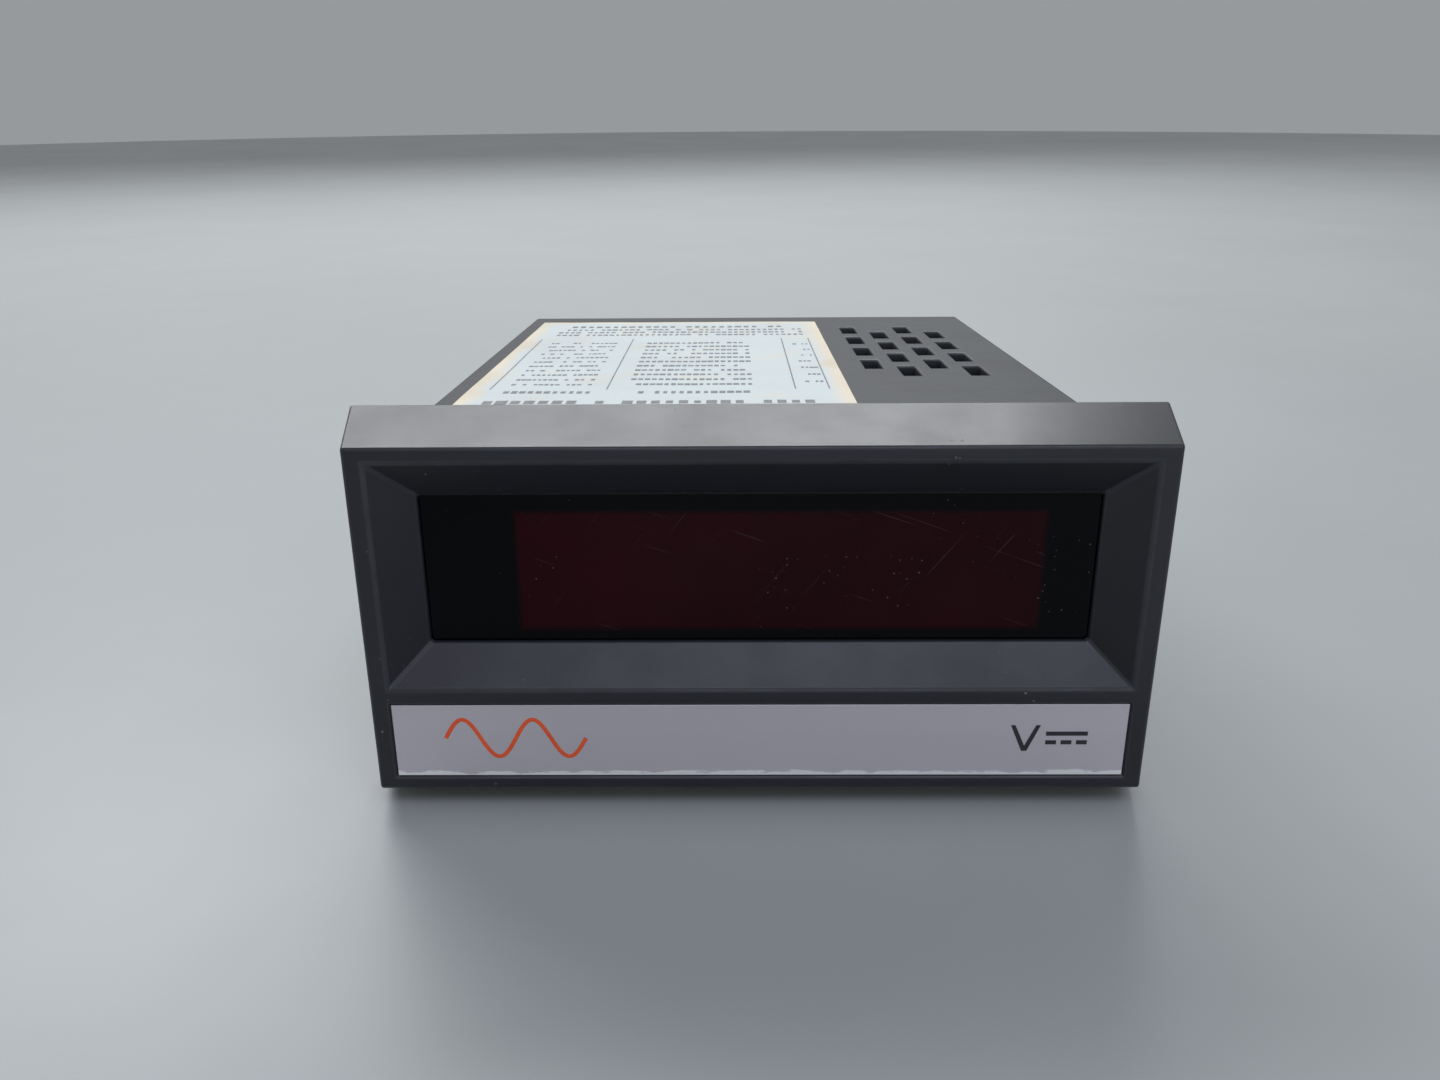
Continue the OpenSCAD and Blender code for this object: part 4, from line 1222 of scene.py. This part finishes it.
@dataclass
class Front:
    """The bezel, its window and the nameplate with its marks."""

    edge_round: float = 0.4
    mark_left: float = 7.0
    mark_width: float = 19.0
    mark_height: float = 5.6
    mark_waves: float = 2.0
    unit_right: float = 5.2
    unit_height: float = 3.9
    stroke: float = 0.62
    ink_t: float = 0.03
    letter_w: float = 3.4
    letter_in: float = 8.4
    bar: float = 5.6
    dash: float = 0.26
    bar_gap: float = 0.35

    def shell(self) -> None:
        """Rounds the bezel's edges."""
        Softened("bezel_shell", "bezel", self.edge_round, [BEZEL], 3,
                 edge=BEZEL_EDGE, clamp=False).build()

    def window(self) -> None:
        """Dresses the lens and the mask behind it."""
        outer_lo, outer_hi = node_box("display_mask")
        bm = bmesh.new()
        bm.from_mesh(frame["nodes"]["display_mask"].data)
        inner = [v.co / MM for v in bm.verts
                 if outer_lo.x + 1 < v.co.x / MM < outer_hi.x - 1]
        bm.free()
        lo = (min(p.x for p in inner), 0.0, min(p.z for p in inner))
        hi = (max(p.x for p in inner), 0.0, max(p.z for p in inner))
        lens = WindowFinish("tinted_acrylic", "red_acrylic", "#2c010a", "#240108", 30,
                            (0.05, 0.09), 3.0, 0.002, dust=0.32, dust_colour="#8c8682",
                            dust_size=0.17, specular=0.04, ior=1.49, transmission=0.12,
                            lo=lo, hi=hi)
        Softened("lens_pane", "lens", 0.2, [lens]).build()
        dress("display_mask", MASK_INK)

    def nameplate(self) -> None:
        """Dresses the brushed plate."""
        lo, _ = node_box("nameplate")
        # Thin aluminium foil, brushed along its length under a clear satin film
        foil = FoilFinish("brushed_plate_foil", "brushed_foil", "#dad5da", "#c9c4ca", 50,
                          (0.34, 0.46), 0.35, 0.006, metallic=0.65,
                          stretch=(0.03, 1.0, 1.0), edge_z=lo.z)
        Softened("nameplate_foil", "nameplate", 0.08, [foil]).build()

    def wave_mark(self) -> None:
        """Prints a generic sine wave at the plate's left."""
        lo, hi = node_box("nameplate")
        shape = NodeShape("wave_mark", {
            "Length": self.mark_width * MM, "Height": self.mark_height / 2 * MM,
            "Waves": self.mark_waves, "Stroke": self.stroke / 2 * MM,
            "Flatness": 2 * self.ink_t / self.stroke, "Steps": 64,
            "Start": Vector((lo.x + self.mark_left, lo.y, (lo.z + hi.z) / 2 + 0.4)) * MM})
        line = shape.add("GeometryNodeCurvePrimitiveLine", {
            "Direction": (1.0, 0.0, 0.0), "Length": shape.value("Length")},
            mode="DIRECTION")
        fine = shape.add("GeometryNodeResampleCurve", {
            "Curve": line, "Count": shape.value("Steps")})
        along = shape.add("GeometryNodeSplineParameter").outputs["Factor"]
        turns = shape.add("ShaderNodeMath", {0: shape.value("Waves"), 1: math.tau},
                          operation="MULTIPLY")
        angle = shape.add("ShaderNodeMath", {0: along, 1: turns},
                          operation="MULTIPLY")
        sine = shape.add("ShaderNodeMath", {0: angle}, operation="SINE")
        high = shape.add("ShaderNodeMath", {0: sine, 1: shape.value("Height")},
                         operation="MULTIPLY")
        offset = shape.add("ShaderNodeCombineXYZ", {2: high})
        bent = shape.add("GeometryNodeSetPosition", {
            "Geometry": fine, "Offset": offset})
        ring = shape.add("GeometryNodeCurvePrimitiveCircle", {
            "Resolution": 10, "Radius": shape.value("Stroke")}, mode="RADIUS")
        tube = shape.add("GeometryNodeCurveToMesh", {
            "Curve": bent, "Profile Curve": ring,
            "Fill Caps": True})
        thin = shape.add("ShaderNodeCombineXYZ", {0: 1.0, 1: shape.value("Flatness"),
                                                  2: 1.0})
        ribbon = shape.add("GeometryNodeTransform", {
            "Geometry": tube, "Translation": shape.value("Start"),
            "Scale": thin})
        shape.end(ribbon.outputs[0], [ORANGE_INK.material()])
        place(smooth(shape.run(), 60), body_of("nameplate"), "brushed_foil")

    def unit_mark(self) -> None:
        """Prints the letter for volts and the symbol for direct current."""
        lo, hi = node_box("nameplate")
        y0, y1 = lo.y - self.ink_t, lo.y + 0.02
        mid = (lo.z + hi.z) / 2 + 0.3
        z0, z1 = mid - self.unit_height / 2, mid + self.unit_height / 2
        x1 = hi.x - self.unit_right
        shape = Shape(DARK_INK)
        stroke, bar, gap = self.stroke, self.bar, self.bar_gap
        foot_x, foot, arm = x1 - self.letter_in, stroke * 0.575, self.letter_w / 2
        crotch = z0 + self.unit_height * foot / (arm + foot - stroke / 2)
        outline = [(-foot, z0), (foot, z0), (arm + stroke / 2, z1), (arm - stroke / 2, z1),
                   (0.0, crotch), (stroke / 2 - arm, z1), (-stroke / 2 - arm, z1)]
        before, behind = ([shape.bm.verts.new((foot_x + x, y, z)) for x, z in outline]
                          for y in (y0, y1))
        shape.bm.faces.new(before)
        shape.bm.faces.new(behind[::-1])
        for k, corner in enumerate(before):
            shape.bm.faces.new((corner, behind[k], behind[(k + 1) % len(behind)],
                                before[(k + 1) % len(before)]))
        shape.block((x1 - bar, y0, mid + gap), (x1, y1, mid + gap + stroke))
        dash = bar * self.dash
        for k in range(3):
            x = x1 - bar + k * (bar - dash) / 2
            shape.block((x, y0, mid - gap - stroke), (x + dash, y1, mid - gap))
        place(shape.build("unit_mark"), body_of("nameplate"), "brushed_foil")

    def build(self) -> None:
        """Builds the front's pieces."""
        self.shell()
        self.window()
        self.nameplate()
        self.wave_mark()
        self.unit_mark()


# ---- Boards and the display ----


@dataclass
class Boards:
    """The main board, the upright display board and their solder joints."""

    joint_r: float = 0.95
    joint_h: float = 0.9
    reach: float = 0.12
    cell: float = 1.6
    gap: float = 1.5
    leaded: Sequence[str] = (
        "digit_transistors", "crystal", "voltage_reference", "film_capacitors",
        "disc_capacitors", "resistors", "range_resistors", "small_chips",
        "resistor_network", "regulator", "rectifier_diodes", "board_link_pins")

    def feet(self) -> list[Vector]:
        """Finds where leads enter the main board, from the parts that stand on it."""
        top = node_box("main_board")[1].z
        found: dict[tuple[int, int], Vector] = {}
        for node in self.leaded:
            for vert in frame["nodes"][node].data.vertices:
                spot = vert.co / MM
                if abs(spot.z - top) < self.reach:
                    found.setdefault((round(spot.x / self.cell),
                                      round(spot.y / self.cell)), spot)
        kept: list[Vector] = []
        for spot in found.values():
            if all((spot - other).xy.length > self.gap for other in kept):
                kept.append(spot)
        return sorted(kept, key=lambda p: (round(p.y, 2), round(p.x, 2)))

    def joints(self) -> None:
        """Solders every lead under the main board."""
        under = node_box("main_board")[0].z
        cone = Shape(TIN).turned(
            [(0.0, 0.0), (self.joint_r, 0.02), (self.joint_r * 0.66, -0.18),
             (self.joint_r * 0.36, -0.5), (0.26, -self.joint_h), (0.0, -self.joint_h - 0.08)],
            Axis.Z, sides=9).build("joint", 60)
        places = [Vector((p.x, p.y, under)) for p in self.feet()]
        place(smooth(scatter("solder_joints", cone, places), 50), body_of("main_board"),
              "tinned_metal")

    def build(self) -> None:
        """Builds both boards."""
        Softened("main_board_sheet", "main_board", 0.12, [BOARD], 1).build()
        Softened("display_board_sheet", "display_board", 0.12, [UPRIGHT_BOARD], 1).build()
        Softened("link_pins", "board_link_pins", 0.1, [TIN], 1).build()
        Softened("sign_housing", "sign_digit", 0.15, [DIGIT_BLACK], 1).build()
        Softened("digit_housings", "full_digits", 0.15, [DIGIT_BLACK], 1).build()
        Softened("segment_bars", "digit_segments", 0.08, [SEGMENT], 1).build()
        self.joints()


# ---- Parts on the main board ----


@dataclass
class Chips:
    """Dual-in-line packages: ground epoxy bodies on tinned legs, one in a socket."""

    edge: float = 0.22
    leg_inset: float = 0.72

    def _package(self, name: str, node: str, epoxy: Finish) -> None:
        """Rounds a package and parts its legs from its body.

        Args:
            name: the piece's name.
            node: the CAD node; it may hold several packages.
            epoxy: the body's finish.
        """
        bodies = islands(node)

        def pick(spot: Vector, normal: Vector) -> int:
            """Returns the body's finish inside the body's footprint."""
            for lo, hi in bodies:
                size = hi - lo
                narrow = 0 if size.x < size.y else 1
                inside = (lo[narrow] + self.leg_inset < spot[narrow]
                          < hi[narrow] - self.leg_inset)
                if all(lo[k] - 0.01 <= spot[k] <= hi[k] + 0.01 for k in range(3)):
                    return 0 if inside else 1
            return 0

        Softened(name, node, self.edge, [epoxy, TIN], 1, pick=pick).build()

    def build(self) -> None:
        """Builds the packages and the socket."""
        self._package("converter_chip", "adc_chip", CHIP)
        self._package("board_chips", "small_chips", CHIP)
        self._package("network_package", "resistor_network", NETWORK)
        Softened("chip_socket", "adc_socket", 0.3, [NYLON], 2).build()


@dataclass
class Leaded:
    """Small parts on wire leads, each built once and stood where the CAD has it."""

    lead: float = 0.3
    thick_lead: float = 0.4
    thick_from: float = 2.6
    resistor_bands: Sequence[tuple[float, int]] = ((-2.0, 2), (-1.0, 3), (0.0, 2), (1.9, 4))

    def _axial(self, name: str, node: str, finishes: Sequence[Finish], length: float,
               width: float, swell: float, bands: Sequence[tuple[float, int]],
               band: float) -> None:
        """Builds parts that lie along x with bent leads.

        Args:
            name: the piece's name.
            node: the CAD node with all of them.
            finishes: body, lead, then the band paints.
            length: of the body.
            width: of the body's ends.
            swell: how much wider the ends are than the middle.
            bands: each band's middle along the body and its finish.
            band: width of a band.
        """
        spots = islands(node)
        lo, hi = spots[0]
        half = (hi.x - lo.x) / 2
        lead = self.lead if width < self.thick_from else self.thick_lead
        top = hi.z - lo.z - width / 2
        r_end, r_mid = width / 2, width / 2 - swell
        marks = sorted(bands)
        profile: list[tuple[float, float]] = [(0.0, -length / 2), (r_end * 0.7, -length / 2)]
        slots = [0, 0]
        cap = length * 0.2
        profile += [(r_end, -length / 2 + 0.35)]
        edges = [(-length / 2 + cap, r_end), (-length / 2 + cap + 0.4, r_mid),
                 (length / 2 - cap - 0.4, r_mid), (length / 2 - cap, r_end)]
        cuts = sorted({round(x, 4) for x, _ in edges}
                      | {round(x + s * band / 2, 4) for x, _ in marks for s in (-1, 1)})

        def radius(x: float) -> float:
            """Returns the body's radius at a place along it."""
            off = length / 2 - cap - abs(x)
            return r_end if off <= 0 else r_mid + swell * max(0.0, 1 - off / 0.4)

        last = -length / 2 + 0.35
        for x in cuts + [length / 2 - 0.35]:
            here = (last + x) / 2
            slots.append(next((k for m, k in marks if abs(m - here) < band / 2), 0))
            profile.append((radius(x) if x < length / 2 - 0.35 else r_end, x))
            last = x
        profile += [(r_end * 0.7, length / 2), (0.0, length / 2)]
        slots += [0, 0]
        part = Shape(*finishes).turned(profile, Axis.X, slot=slots, sides=18)
        bend = 0.7
        for side in Side:
            s = side.value
            out = s * (half - lead)
            part.wire([(s * length / 2 * 0.94, 0, 0), (out - s * bend, 0, 0),
                       (out - s * bend * 0.3, 0, -bend * 0.3), (out, 0, -bend),
                       (out, 0, -top)], lead, 1)
        places = [Vector((middle(b).x, middle(b).y, b[0].z + top)) for b in spots]
        place(smooth(scatter(name, part.build("part"), places)), body_of(node),
              finishes[0].slot, node)

    def resistors(self) -> None:
        """Builds the banded resistors, the diodes and the blue precision ones."""
        self._axial("banded_resistors", "resistors",
                    [TAN, TIN, BROWN_BAND, RED_BAND, GOLD_BAND], 6.3, 2.3, 0.22,
                    self.resistor_bands, 0.55)
        self._axial("precision_resistors", "range_resistors", [BLUE_FILM, TIN, BLACK_BAND],
                    10.0, 3.6, 0.3, ((-3.3, 2), (-1.6, 2), (3.4, 2)), 0.5)
        self._axial("power_diodes", "rectifier_diodes", [NYLON, TIN, CAN_TOP], 5.2, 2.7,
                    0.0, ((1.7, 2),), 0.7)

    def coated(self) -> None:
        """Builds the dipped film and disc capacitors."""
        boxes = islands("film_capacitors")
        lo, hi = boxes[0]
        size = hi - lo
        part = Shape(FILM, TIN).pillow((-size.x / 2, -size.y / 2, 0.4),
                                       (size.x / 2, size.y / 2, size.z), 0, 1.9)
        for side in Side:
            part.wire([(0, side.value * 5, 1.2), (0, side.value * 5, 0)], 0.35, 1)
        places = [Vector((middle(b).x, middle(b).y, b[0].z)) for b in boxes]
        place(smooth(scatter("film_blocks", part.build("part"), places)),
              body_of("film_capacitors"), "film_coating", "film_capacitors")
        boxes = islands("disc_capacitors")
        lo, hi = boxes[0]
        size = hi - lo
        r, half = size.x / 2, size.y / 2
        lens = [(0.0, -half), (r * 0.45, -half * 0.95), (r * 0.8, -half * 0.7),
                (r * 0.96, -half * 0.35), (r, 0.0), (r * 0.96, half * 0.35),
                (r * 0.8, half * 0.7), (r * 0.45, half * 0.95), (0.0, half)]
        part = Shape(CERAMIC, TIN).turned(lens, Axis.Y, (0, 0, size.z - r), sides=22)
        for side in Side:
            s = side.value
            part.turned([(0.0, 0.9), (0.45, 1.1), (0.55, 1.9), (0.6, 3.2), (0.0, 3.3)],
                        Axis.Z, (s * 2.2, 0, 0), sides=10)
            part.wire([(s * 2.2, 0, 0), (s * 2.2, 0, 1.4)], 0.3, 1)
        places = [Vector((middle(b).x, middle(b).y, b[0].z)) for b in boxes]
        place(smooth(scatter("disc_blocks", part.build("part"), places)),
              body_of("disc_capacitors"), "ceramic_coating", "disc_capacitors")

    def cans(self) -> None:
        """Finishes the transistors, the crystal and the reference."""
        leg_top = node_box("digit_transistors")[0].z + 2.5
        Softened("switch_transistors", "digit_transistors", 0.15, [CHIP, TIN], 2,
                 pick=lambda p, n: int(p.z < leg_top - 0.05)).build()
        Softened("crystal_can", "crystal", 0.3, [NICKEL], 3).build()
        Softened("reference_can", "voltage_reference", 0.3, [GOLD], 3).build()

    def build(self) -> None:
        """Builds all the small parts."""
        self.resistors()
        self.coated()
        self.cans()


@dataclass
class PowerSupply:
    """Transformer, smoothing cans, regulator on its heat sink, and the fuse."""

    plate: float = 0.5
    plate_gap: float = 0.06
    loose: float = 0.04
    limb: float = 0.16
    stripe: float = 0.32
    score_in: float = 2.1
    fuse_sag: float = 0.5
    fuse_steps: int = 12
    tab_z: float = 12.05
    tab_y: float = 1.35
    leg_z: float = 3.45

    def laminations(self) -> None:
        """Stacks the core's plates in a row, each a little out of line."""
        lo, hi = node_box("transformer_core")
        w, d, h = hi - lo
        frame_w = w * self.limb
        slot_w = (w - 4 * frame_w) / 2
        xs = [-w / 2, -frame_w - slot_w, -frame_w, frame_w, frame_w + slot_w, w / 2]
        zs = [0.0, frame_w, h - frame_w, h]
        xs = [xs[0] + self.loose, *xs[1:-1], xs[-1] - self.loose]
        zs = [zs[0] + self.loose, *zs[1:-1], zs[-1] - self.loose]
        count = int(d / self.plate)
        step = (d - (self.plate - self.plate_gap)) / (count - 1)
        half = (self.plate - self.plate_gap) / 2
        cell = Shape(STEEL_PLATE)
        solid = {(i, k) for i in range(5) for k in range(3) if not (k == 1 and i in (1, 3))}
        cache: dict[tuple[int, int, int], bmesh.types.BMVert] = {}

        def corner(i: int, k: int, side: int) -> bmesh.types.BMVert:
            """Returns the plate's vertex at a grid corner."""
            if (i, k, side) not in cache:
                cache[i, k, side] = cell.bm.verts.new((xs[i], side * half, zs[k]))
            return cache[i, k, side]

        for i, k in solid:
            square = [(i, k), (i + 1, k), (i + 1, k + 1), (i, k + 1)]
            for side in (-1, 1):
                cell.bm.faces.new([corner(a, b, side) for a, b in square])
            for n, (di, dk) in enumerate(((0, -1), (1, 0), (0, 1), (-1, 0))):
                if (i + di, k + dk) not in solid:
                    (a, b), (c, e) = square[n], square[(n + 1) % 4]
                    cell.bm.faces.new((corner(a, b, -1), corner(c, e, -1),
                                       corner(c, e, 1), corner(a, b, 1)))
        start = Vector(((lo.x + hi.x) / 2, lo.y + half, lo.z))
        stack = row("core_plates", cell.build("part"), count, start, Vector((0, step, 0)),
                    self.loose, 4)
        place(stack, body_of("transformer_core"), "lamination_steel", "transformer_core")

    def cans(self) -> None:
        """Builds the smoothing cans: printed sleeve, rolled groove and scored top."""
        boxes = islands("smoothing_capacitors")
        lo, hi = boxes[0]
        r, h = (hi.x - lo.x) / 2, hi.z - lo.z
        part = Shape(CAN_SLEEVE, CAN_STRIPE, CAN_TOP)
        rim = [(0.0, 0.02), (r - 0.8, 0.02), (r - 0.25, 0.25), (r, 0.7), (r, 2.5),
               (r - 0.35, 2.8), (r - 0.55, 3.1), (r - 0.35, 3.4), (r, 3.7), (r, h - 0.9),
               (r - 0.25, h - 0.4), (r - 0.8, h - 0.05), (r - 1.4, h - 0.02),
               (r - 1.5, h - 0.3), (r * 0.3, h - 0.3), (0.0, h - 0.3)]
        slots = [0] * 12 + [2] * 3
        part.turned(rim, Axis.Z, slot=slots, sides=48)
        part.bm.faces.ensure_lookup_table()
        for face in part.bm.faces:
            spot = face.calc_center_median()
            if face.material_index == 0 and spot.z > 1 and abs(
                    math.atan2(spot.y, spot.x) - math.pi / 2) < self.stripe:
                face.material_index = 1
        for turn in (0.0, 60.0, 120.0):
            a = math.radians(turn)
            way = Vector((math.cos(a), math.sin(a), 0)) * (r - self.score_in)
            part.wire([-way + Vector((0, 0, h - 0.3)), way + Vector((0, 0, h - 0.3))],
                      0.12, 2, 6)
        places = [Vector((middle(b).x, middle(b).y, b[0].z)) for b in boxes]
        place(smooth(scatter("smoothing_cans", part.build("part"), places)),
              body_of("smoothing_capacitors"), "capacitor_sleeve", "smoothing_capacitors")

    def fuse(self) -> None:
        """Dresses the fuse and adds the wire in its glass."""
        Softened("fuse_tube", "fuse_glass", 0.12, [GLASS], 2).build()
        Softened("fuse_end_caps", "fuse_caps", 0.35, [NICKEL], 3).build()
        Softened("fuse_spring_clips", "fuse_clips", 0.15, [TIN], 2).build()
        lo, hi = node_box("fuse_glass")
        mid = middle((lo, hi))
        steps = self.fuse_steps
        points = [(lo.x - 1 + (hi.x - lo.x + 2) * k / steps, mid.y,
                   mid.z + self.fuse_sag * math.cos(math.pi * (2 * k / steps - 1)) - 0.3)
                  for k in range(steps + 1)]
        wire = Shape(TIN).wire(points, 0.09, sides=6).build("fuse_element", 60)
        place(wire, body_of("fuse_glass"), "fuse_glass")

    def build(self) -> None:
        """Builds the power supply's pieces."""
        self.laminations()
        Softened("coil_bobbin", "transformer_bobbin", 0.2, [BOBBIN], 2).build()
        Softened("coil_wrap", "transformer_winding", 0.6, [TAPE], 3).build()
        self.cans()
        base = node_box("regulator")[0]
        tab_top, leg_top = base.z + self.tab_z, base.z + self.leg_z
        tab_back = base.y + self.tab_y

        def pick(spot: Vector, normal: Vector) -> int:
            """Returns tinned metal for the tab and the legs."""
            return int(spot.z > tab_top or spot.y < tab_back or spot.z < leg_top)

        Softened("regulator_package", "regulator", 0.2, [CHIP, TIN], 2, pick=pick).build()
        Softened("cooling_channel", "heat_sink", 0.25, [SINK], 2).build()
        self.fuse()


@dataclass
class Adjusters:
    """Trimmers, their slotted rotors, and the pins of the decimal point shunt."""

    def build(self) -> None:
        """Builds the adjusters under the digits."""
        Softened("trimmer_bodies", "trimmers", 0.2, [TRIM_BLUE], 2).build()
        Softened("zero_adjuster", "zero_rotor", 0.12, [BRASS], 2).build()
        Softened("span_adjuster", "span_rotor", 0.12, [BRASS], 2).build()
        Softened("header_block", "header_base", 0.2, [NYLON], 2).build()
        Softened("header_posts", "header_pins", 0.1, [GOLD], 1).build()
        Softened("point_shunt", "decimal_point_shunt", 0.18, [NYLON], 2).build()


# ---- The rear ----


@dataclass
class Threaded:
    """A slotted machine screw: the head from the CAD, and a cut thread."""

    name: str
    node: str
    pitch: float = 0.5
    root: float = 0.84
    sides: int = 20
    edge: float = 0.25

    def _thread(self, at: Vector, radius: float, length: float) -> Object:
        """Winds the thread's ridge round the shank.

        Args:
            at: where the shank meets the head.
            radius: of the crest.
            length: of the thread, towards the front.

        Returns:
            The ridge as a plain mesh.
        """
        turns = length / self.pitch - 1.0
        ridge = radius * (1 - self.root)
        shape = NodeShape(self.name + "_thread", {
            "Turns": turns, "Radius": (radius - ridge * 0.72) * MM,
            "Length": (length - self.pitch) * MM, "Ridge": ridge * 1.1 * MM,
            "Steps": self.sides, "At": (at + Vector((0, -self.pitch * 0.6, 0))) * MM})
        helix = shape.add("GeometryNodeCurveSpiral", {
            "Resolution": shape.value("Steps"), "Rotations": shape.value("Turns"),
            "Start Radius": shape.value("Radius"), "End Radius": shape.value("Radius"),
            "Height": shape.value("Length")})
        ring = shape.add("GeometryNodeCurvePrimitiveCircle", {
            "Resolution": 4, "Radius": shape.value("Ridge")}, mode="RADIUS")
        tube = shape.add("GeometryNodeCurveToMesh", {
            "Curve": helix, "Profile Curve": ring,
            "Fill Caps": True})
        laid = shape.add("GeometryNodeTransform", {
            "Geometry": tube, "Translation": shape.value("At"),
            "Rotation": (math.radians(90), 0.0, 0.0)})
        shape.end(laid.outputs[0], [ZINC.material()])
        return shape.run()

    def build(self) -> None:
        """Builds the screw, its shank turned down to the thread's root."""
        lo, hi = node_box(self.node)
        mid = middle((lo, hi))
        spots = [v.co / MM for v in frame["nodes"][self.node].data.vertices]
        shank = max((s - mid).xz.length for s in spots if s.y < lo.y + 0.1)
        head_y = min(s.y for s in spots if (s - mid).xz.length > shank + 0.1)
        root = self.root * shank

        def reshape(spot: Vector) -> Vector:
            """Draws the shank in to the thread's root."""
            away = Vector((spot.x - mid.x, 0, spot.z - mid.z))
            if spot.y < head_y + 0.05 and away.length < shank + 0.05:
                away *= root / shank
            return Vector((mid.x + away.x, spot.y, mid.z + away.z))

        ridge = self._thread(Vector((mid.x, head_y, mid.z)), shank, head_y - lo.y)
        Softened(self.name, self.node, self.edge, [ZINC], 2, reshape=reshape,
                 extra=ridge).build()


@dataclass
class Rear:
    """The rear cover with its screws, and the terminal block."""

    terminals: int = 6

    def build(self) -> None:
        """Builds the rear's pieces."""
        Softened("rear_plate", "rear_cover", 0.3, [REAR], 2).build()
        Softened("angle_brackets", "cover_brackets", 0.2, [ZINC], 2).build()
        Softened("small_screws", "chassis_screws", 0.2, [ZINC], 2).build()
        Softened("terminal_strip", "terminal_block", 0.3, [TERMINAL], 2).build()
        Softened("contact_tabs", "terminal_tabs", 0.12, [TIN], 2).build()
        for side in ("left", "right"):
            Softened("washer_" + side, "cover_washer_" + side, 0.12, [ZINC], 2).build()
            Threaded("cover_bolt_" + side, "cover_screw_" + side).build()
        for k in range(1, self.terminals + 1):
            Softened("wire_clamp_%d" % k, "clamp_plate_%d" % k, 0.15, [TIN], 2).build()
            Threaded("terminal_bolt_%d" % k, "terminal_screw_%d" % k).build()


# ---- Studio ----


@dataclass(frozen=True)
class AreaLamp:
    """One soft rectangular light that faces a point."""

    name: str
    at: Corner
    size: tuple[float, float]
    power: float
    colour: str = "#ffffff"
    aim: Corner = (0.0, 0.02, 0.0)

    def build(self) -> None:
        """Adds the light."""
        data = bpy.data.lights.new(self.name, "AREA")
        data.shape = "RECTANGLE"
        data.size, data.size_y = self.size
        data.energy = self.power
        data.color = srgb(self.colour)[:3]
        lamp = bpy.data.objects.new(self.name, data)
        lamp.location = self.at
        lamp.rotation_euler = (Vector(self.aim) - Vector(self.at)).to_track_quat(
            "-Z", "Y").to_euler()
        bpy.context.scene.collection.objects.link(lamp)


@dataclass
class Studio:
    """A pale floor, soft lights and the camera."""

    eye: Corner = (-3.78, -130.88, 57.46)
    turn: Corner = (70.85, 0.35, 0.46)
    focal: float = 27.39
    sensor: float = 36.0
    floor_size: float = 2.4
    front_low: float = -28.0
    back_low: float = -21.1
    back_y: float = 116.8
    world_colour: str = "#dfe3e6"
    world_power: float = 0.42
    lamps: Sequence[AreaLamp] = (
        AreaLamp("ceiling_lamp", (-0.22, 0.85, 0.85), (1.34, 0.42), 12.0, "#f6f8fb"),
        AreaLamp("front_fill", (0.15, -0.72, 0.95), (1.0, 0.5), 4.0, "#e2e8ff"),
        AreaLamp("low_fill", (0.25, -0.8, 0.14), (0.9, 0.2), 0.9, "#e9edff"))

    def floor(self) -> None:
        """Lays the floor that the bezel and the sleeve's rear edge stand on."""
        grey = Finish("pale_floor_paint", "floor", "#b6b9b8", "#b1b4b3", 120, (0.38, 0.42),
                      2.0, 0.01)
        rise = (self.back_low - self.front_low) / self.back_y
        bm = bmesh.new()
        sides = 64
        reach = self.floor_size / MM
        ring = []
        for k in range(sides):
            x = reach * math.cos(math.tau * k / sides)
            y = reach * math.sin(math.tau * k / sides)
            ring.append(bm.verts.new(Vector((x, y, self.front_low - 0.02 + rise * y)) * MM))
        bm.faces.new(ring)
        link_mesh("floor", bm, [grey.material()])

    def camera(self) -> None:
        """Places the camera before the bezel's face."""
        lo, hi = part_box("bezel")
        face = Vector(((lo.x + hi.x) / 2, lo.y, (lo.z + hi.z) / 2))
        data = bpy.data.cameras.new("camera")
        data.lens = self.focal
        data.sensor_width = self.sensor
        data.clip_start = 0.005
        data.clip_end = 20.0
        made = bpy.data.objects.new("camera", data)
        made.location = face + Vector(self.eye) * MM
        made.rotation_euler = tuple(math.radians(a) for a in self.turn)
        bpy.context.scene.collection.objects.link(made)
        bpy.context.scene.camera = made

    def world(self) -> None:
        """Fills the room with pale light."""
        world = bpy.data.worlds.new("studio")
        world.use_nodes = True
        back = world.node_tree.nodes["Background"]
        back.inputs["Color"].default_value = srgb(self.world_colour)
        back.inputs["Strength"].default_value = self.world_power
        bpy.context.scene.world = world

    def build(self) -> None:
        """Builds the studio."""
        self.floor()
        self.camera()
        self.world()
        for lamp in self.lamps:
            lamp.build()
        bpy.context.scene.view_settings.view_transform = "Standard"


ASSEMBLIES = (Case, Front, Boards, Chips, Leaded, PowerSupply, Adjusters, Rear)


def main() -> None:
    """Builds the meter's looks in order."""
    logging.basicConfig(level=logging.INFO, format="%(message)s")
    Studio().build()
    for assembly in ASSEMBLIES:
        LOG.info("-- %s", assembly.__name__)
        assembly().build()
    for name, obj in frame["nodes"].items():
        if not obj.hide_render and not any(s.material for s in obj.material_slots):
            LOG.warning("%s has no finish", name)


if __name__ == "__main__":
    main()
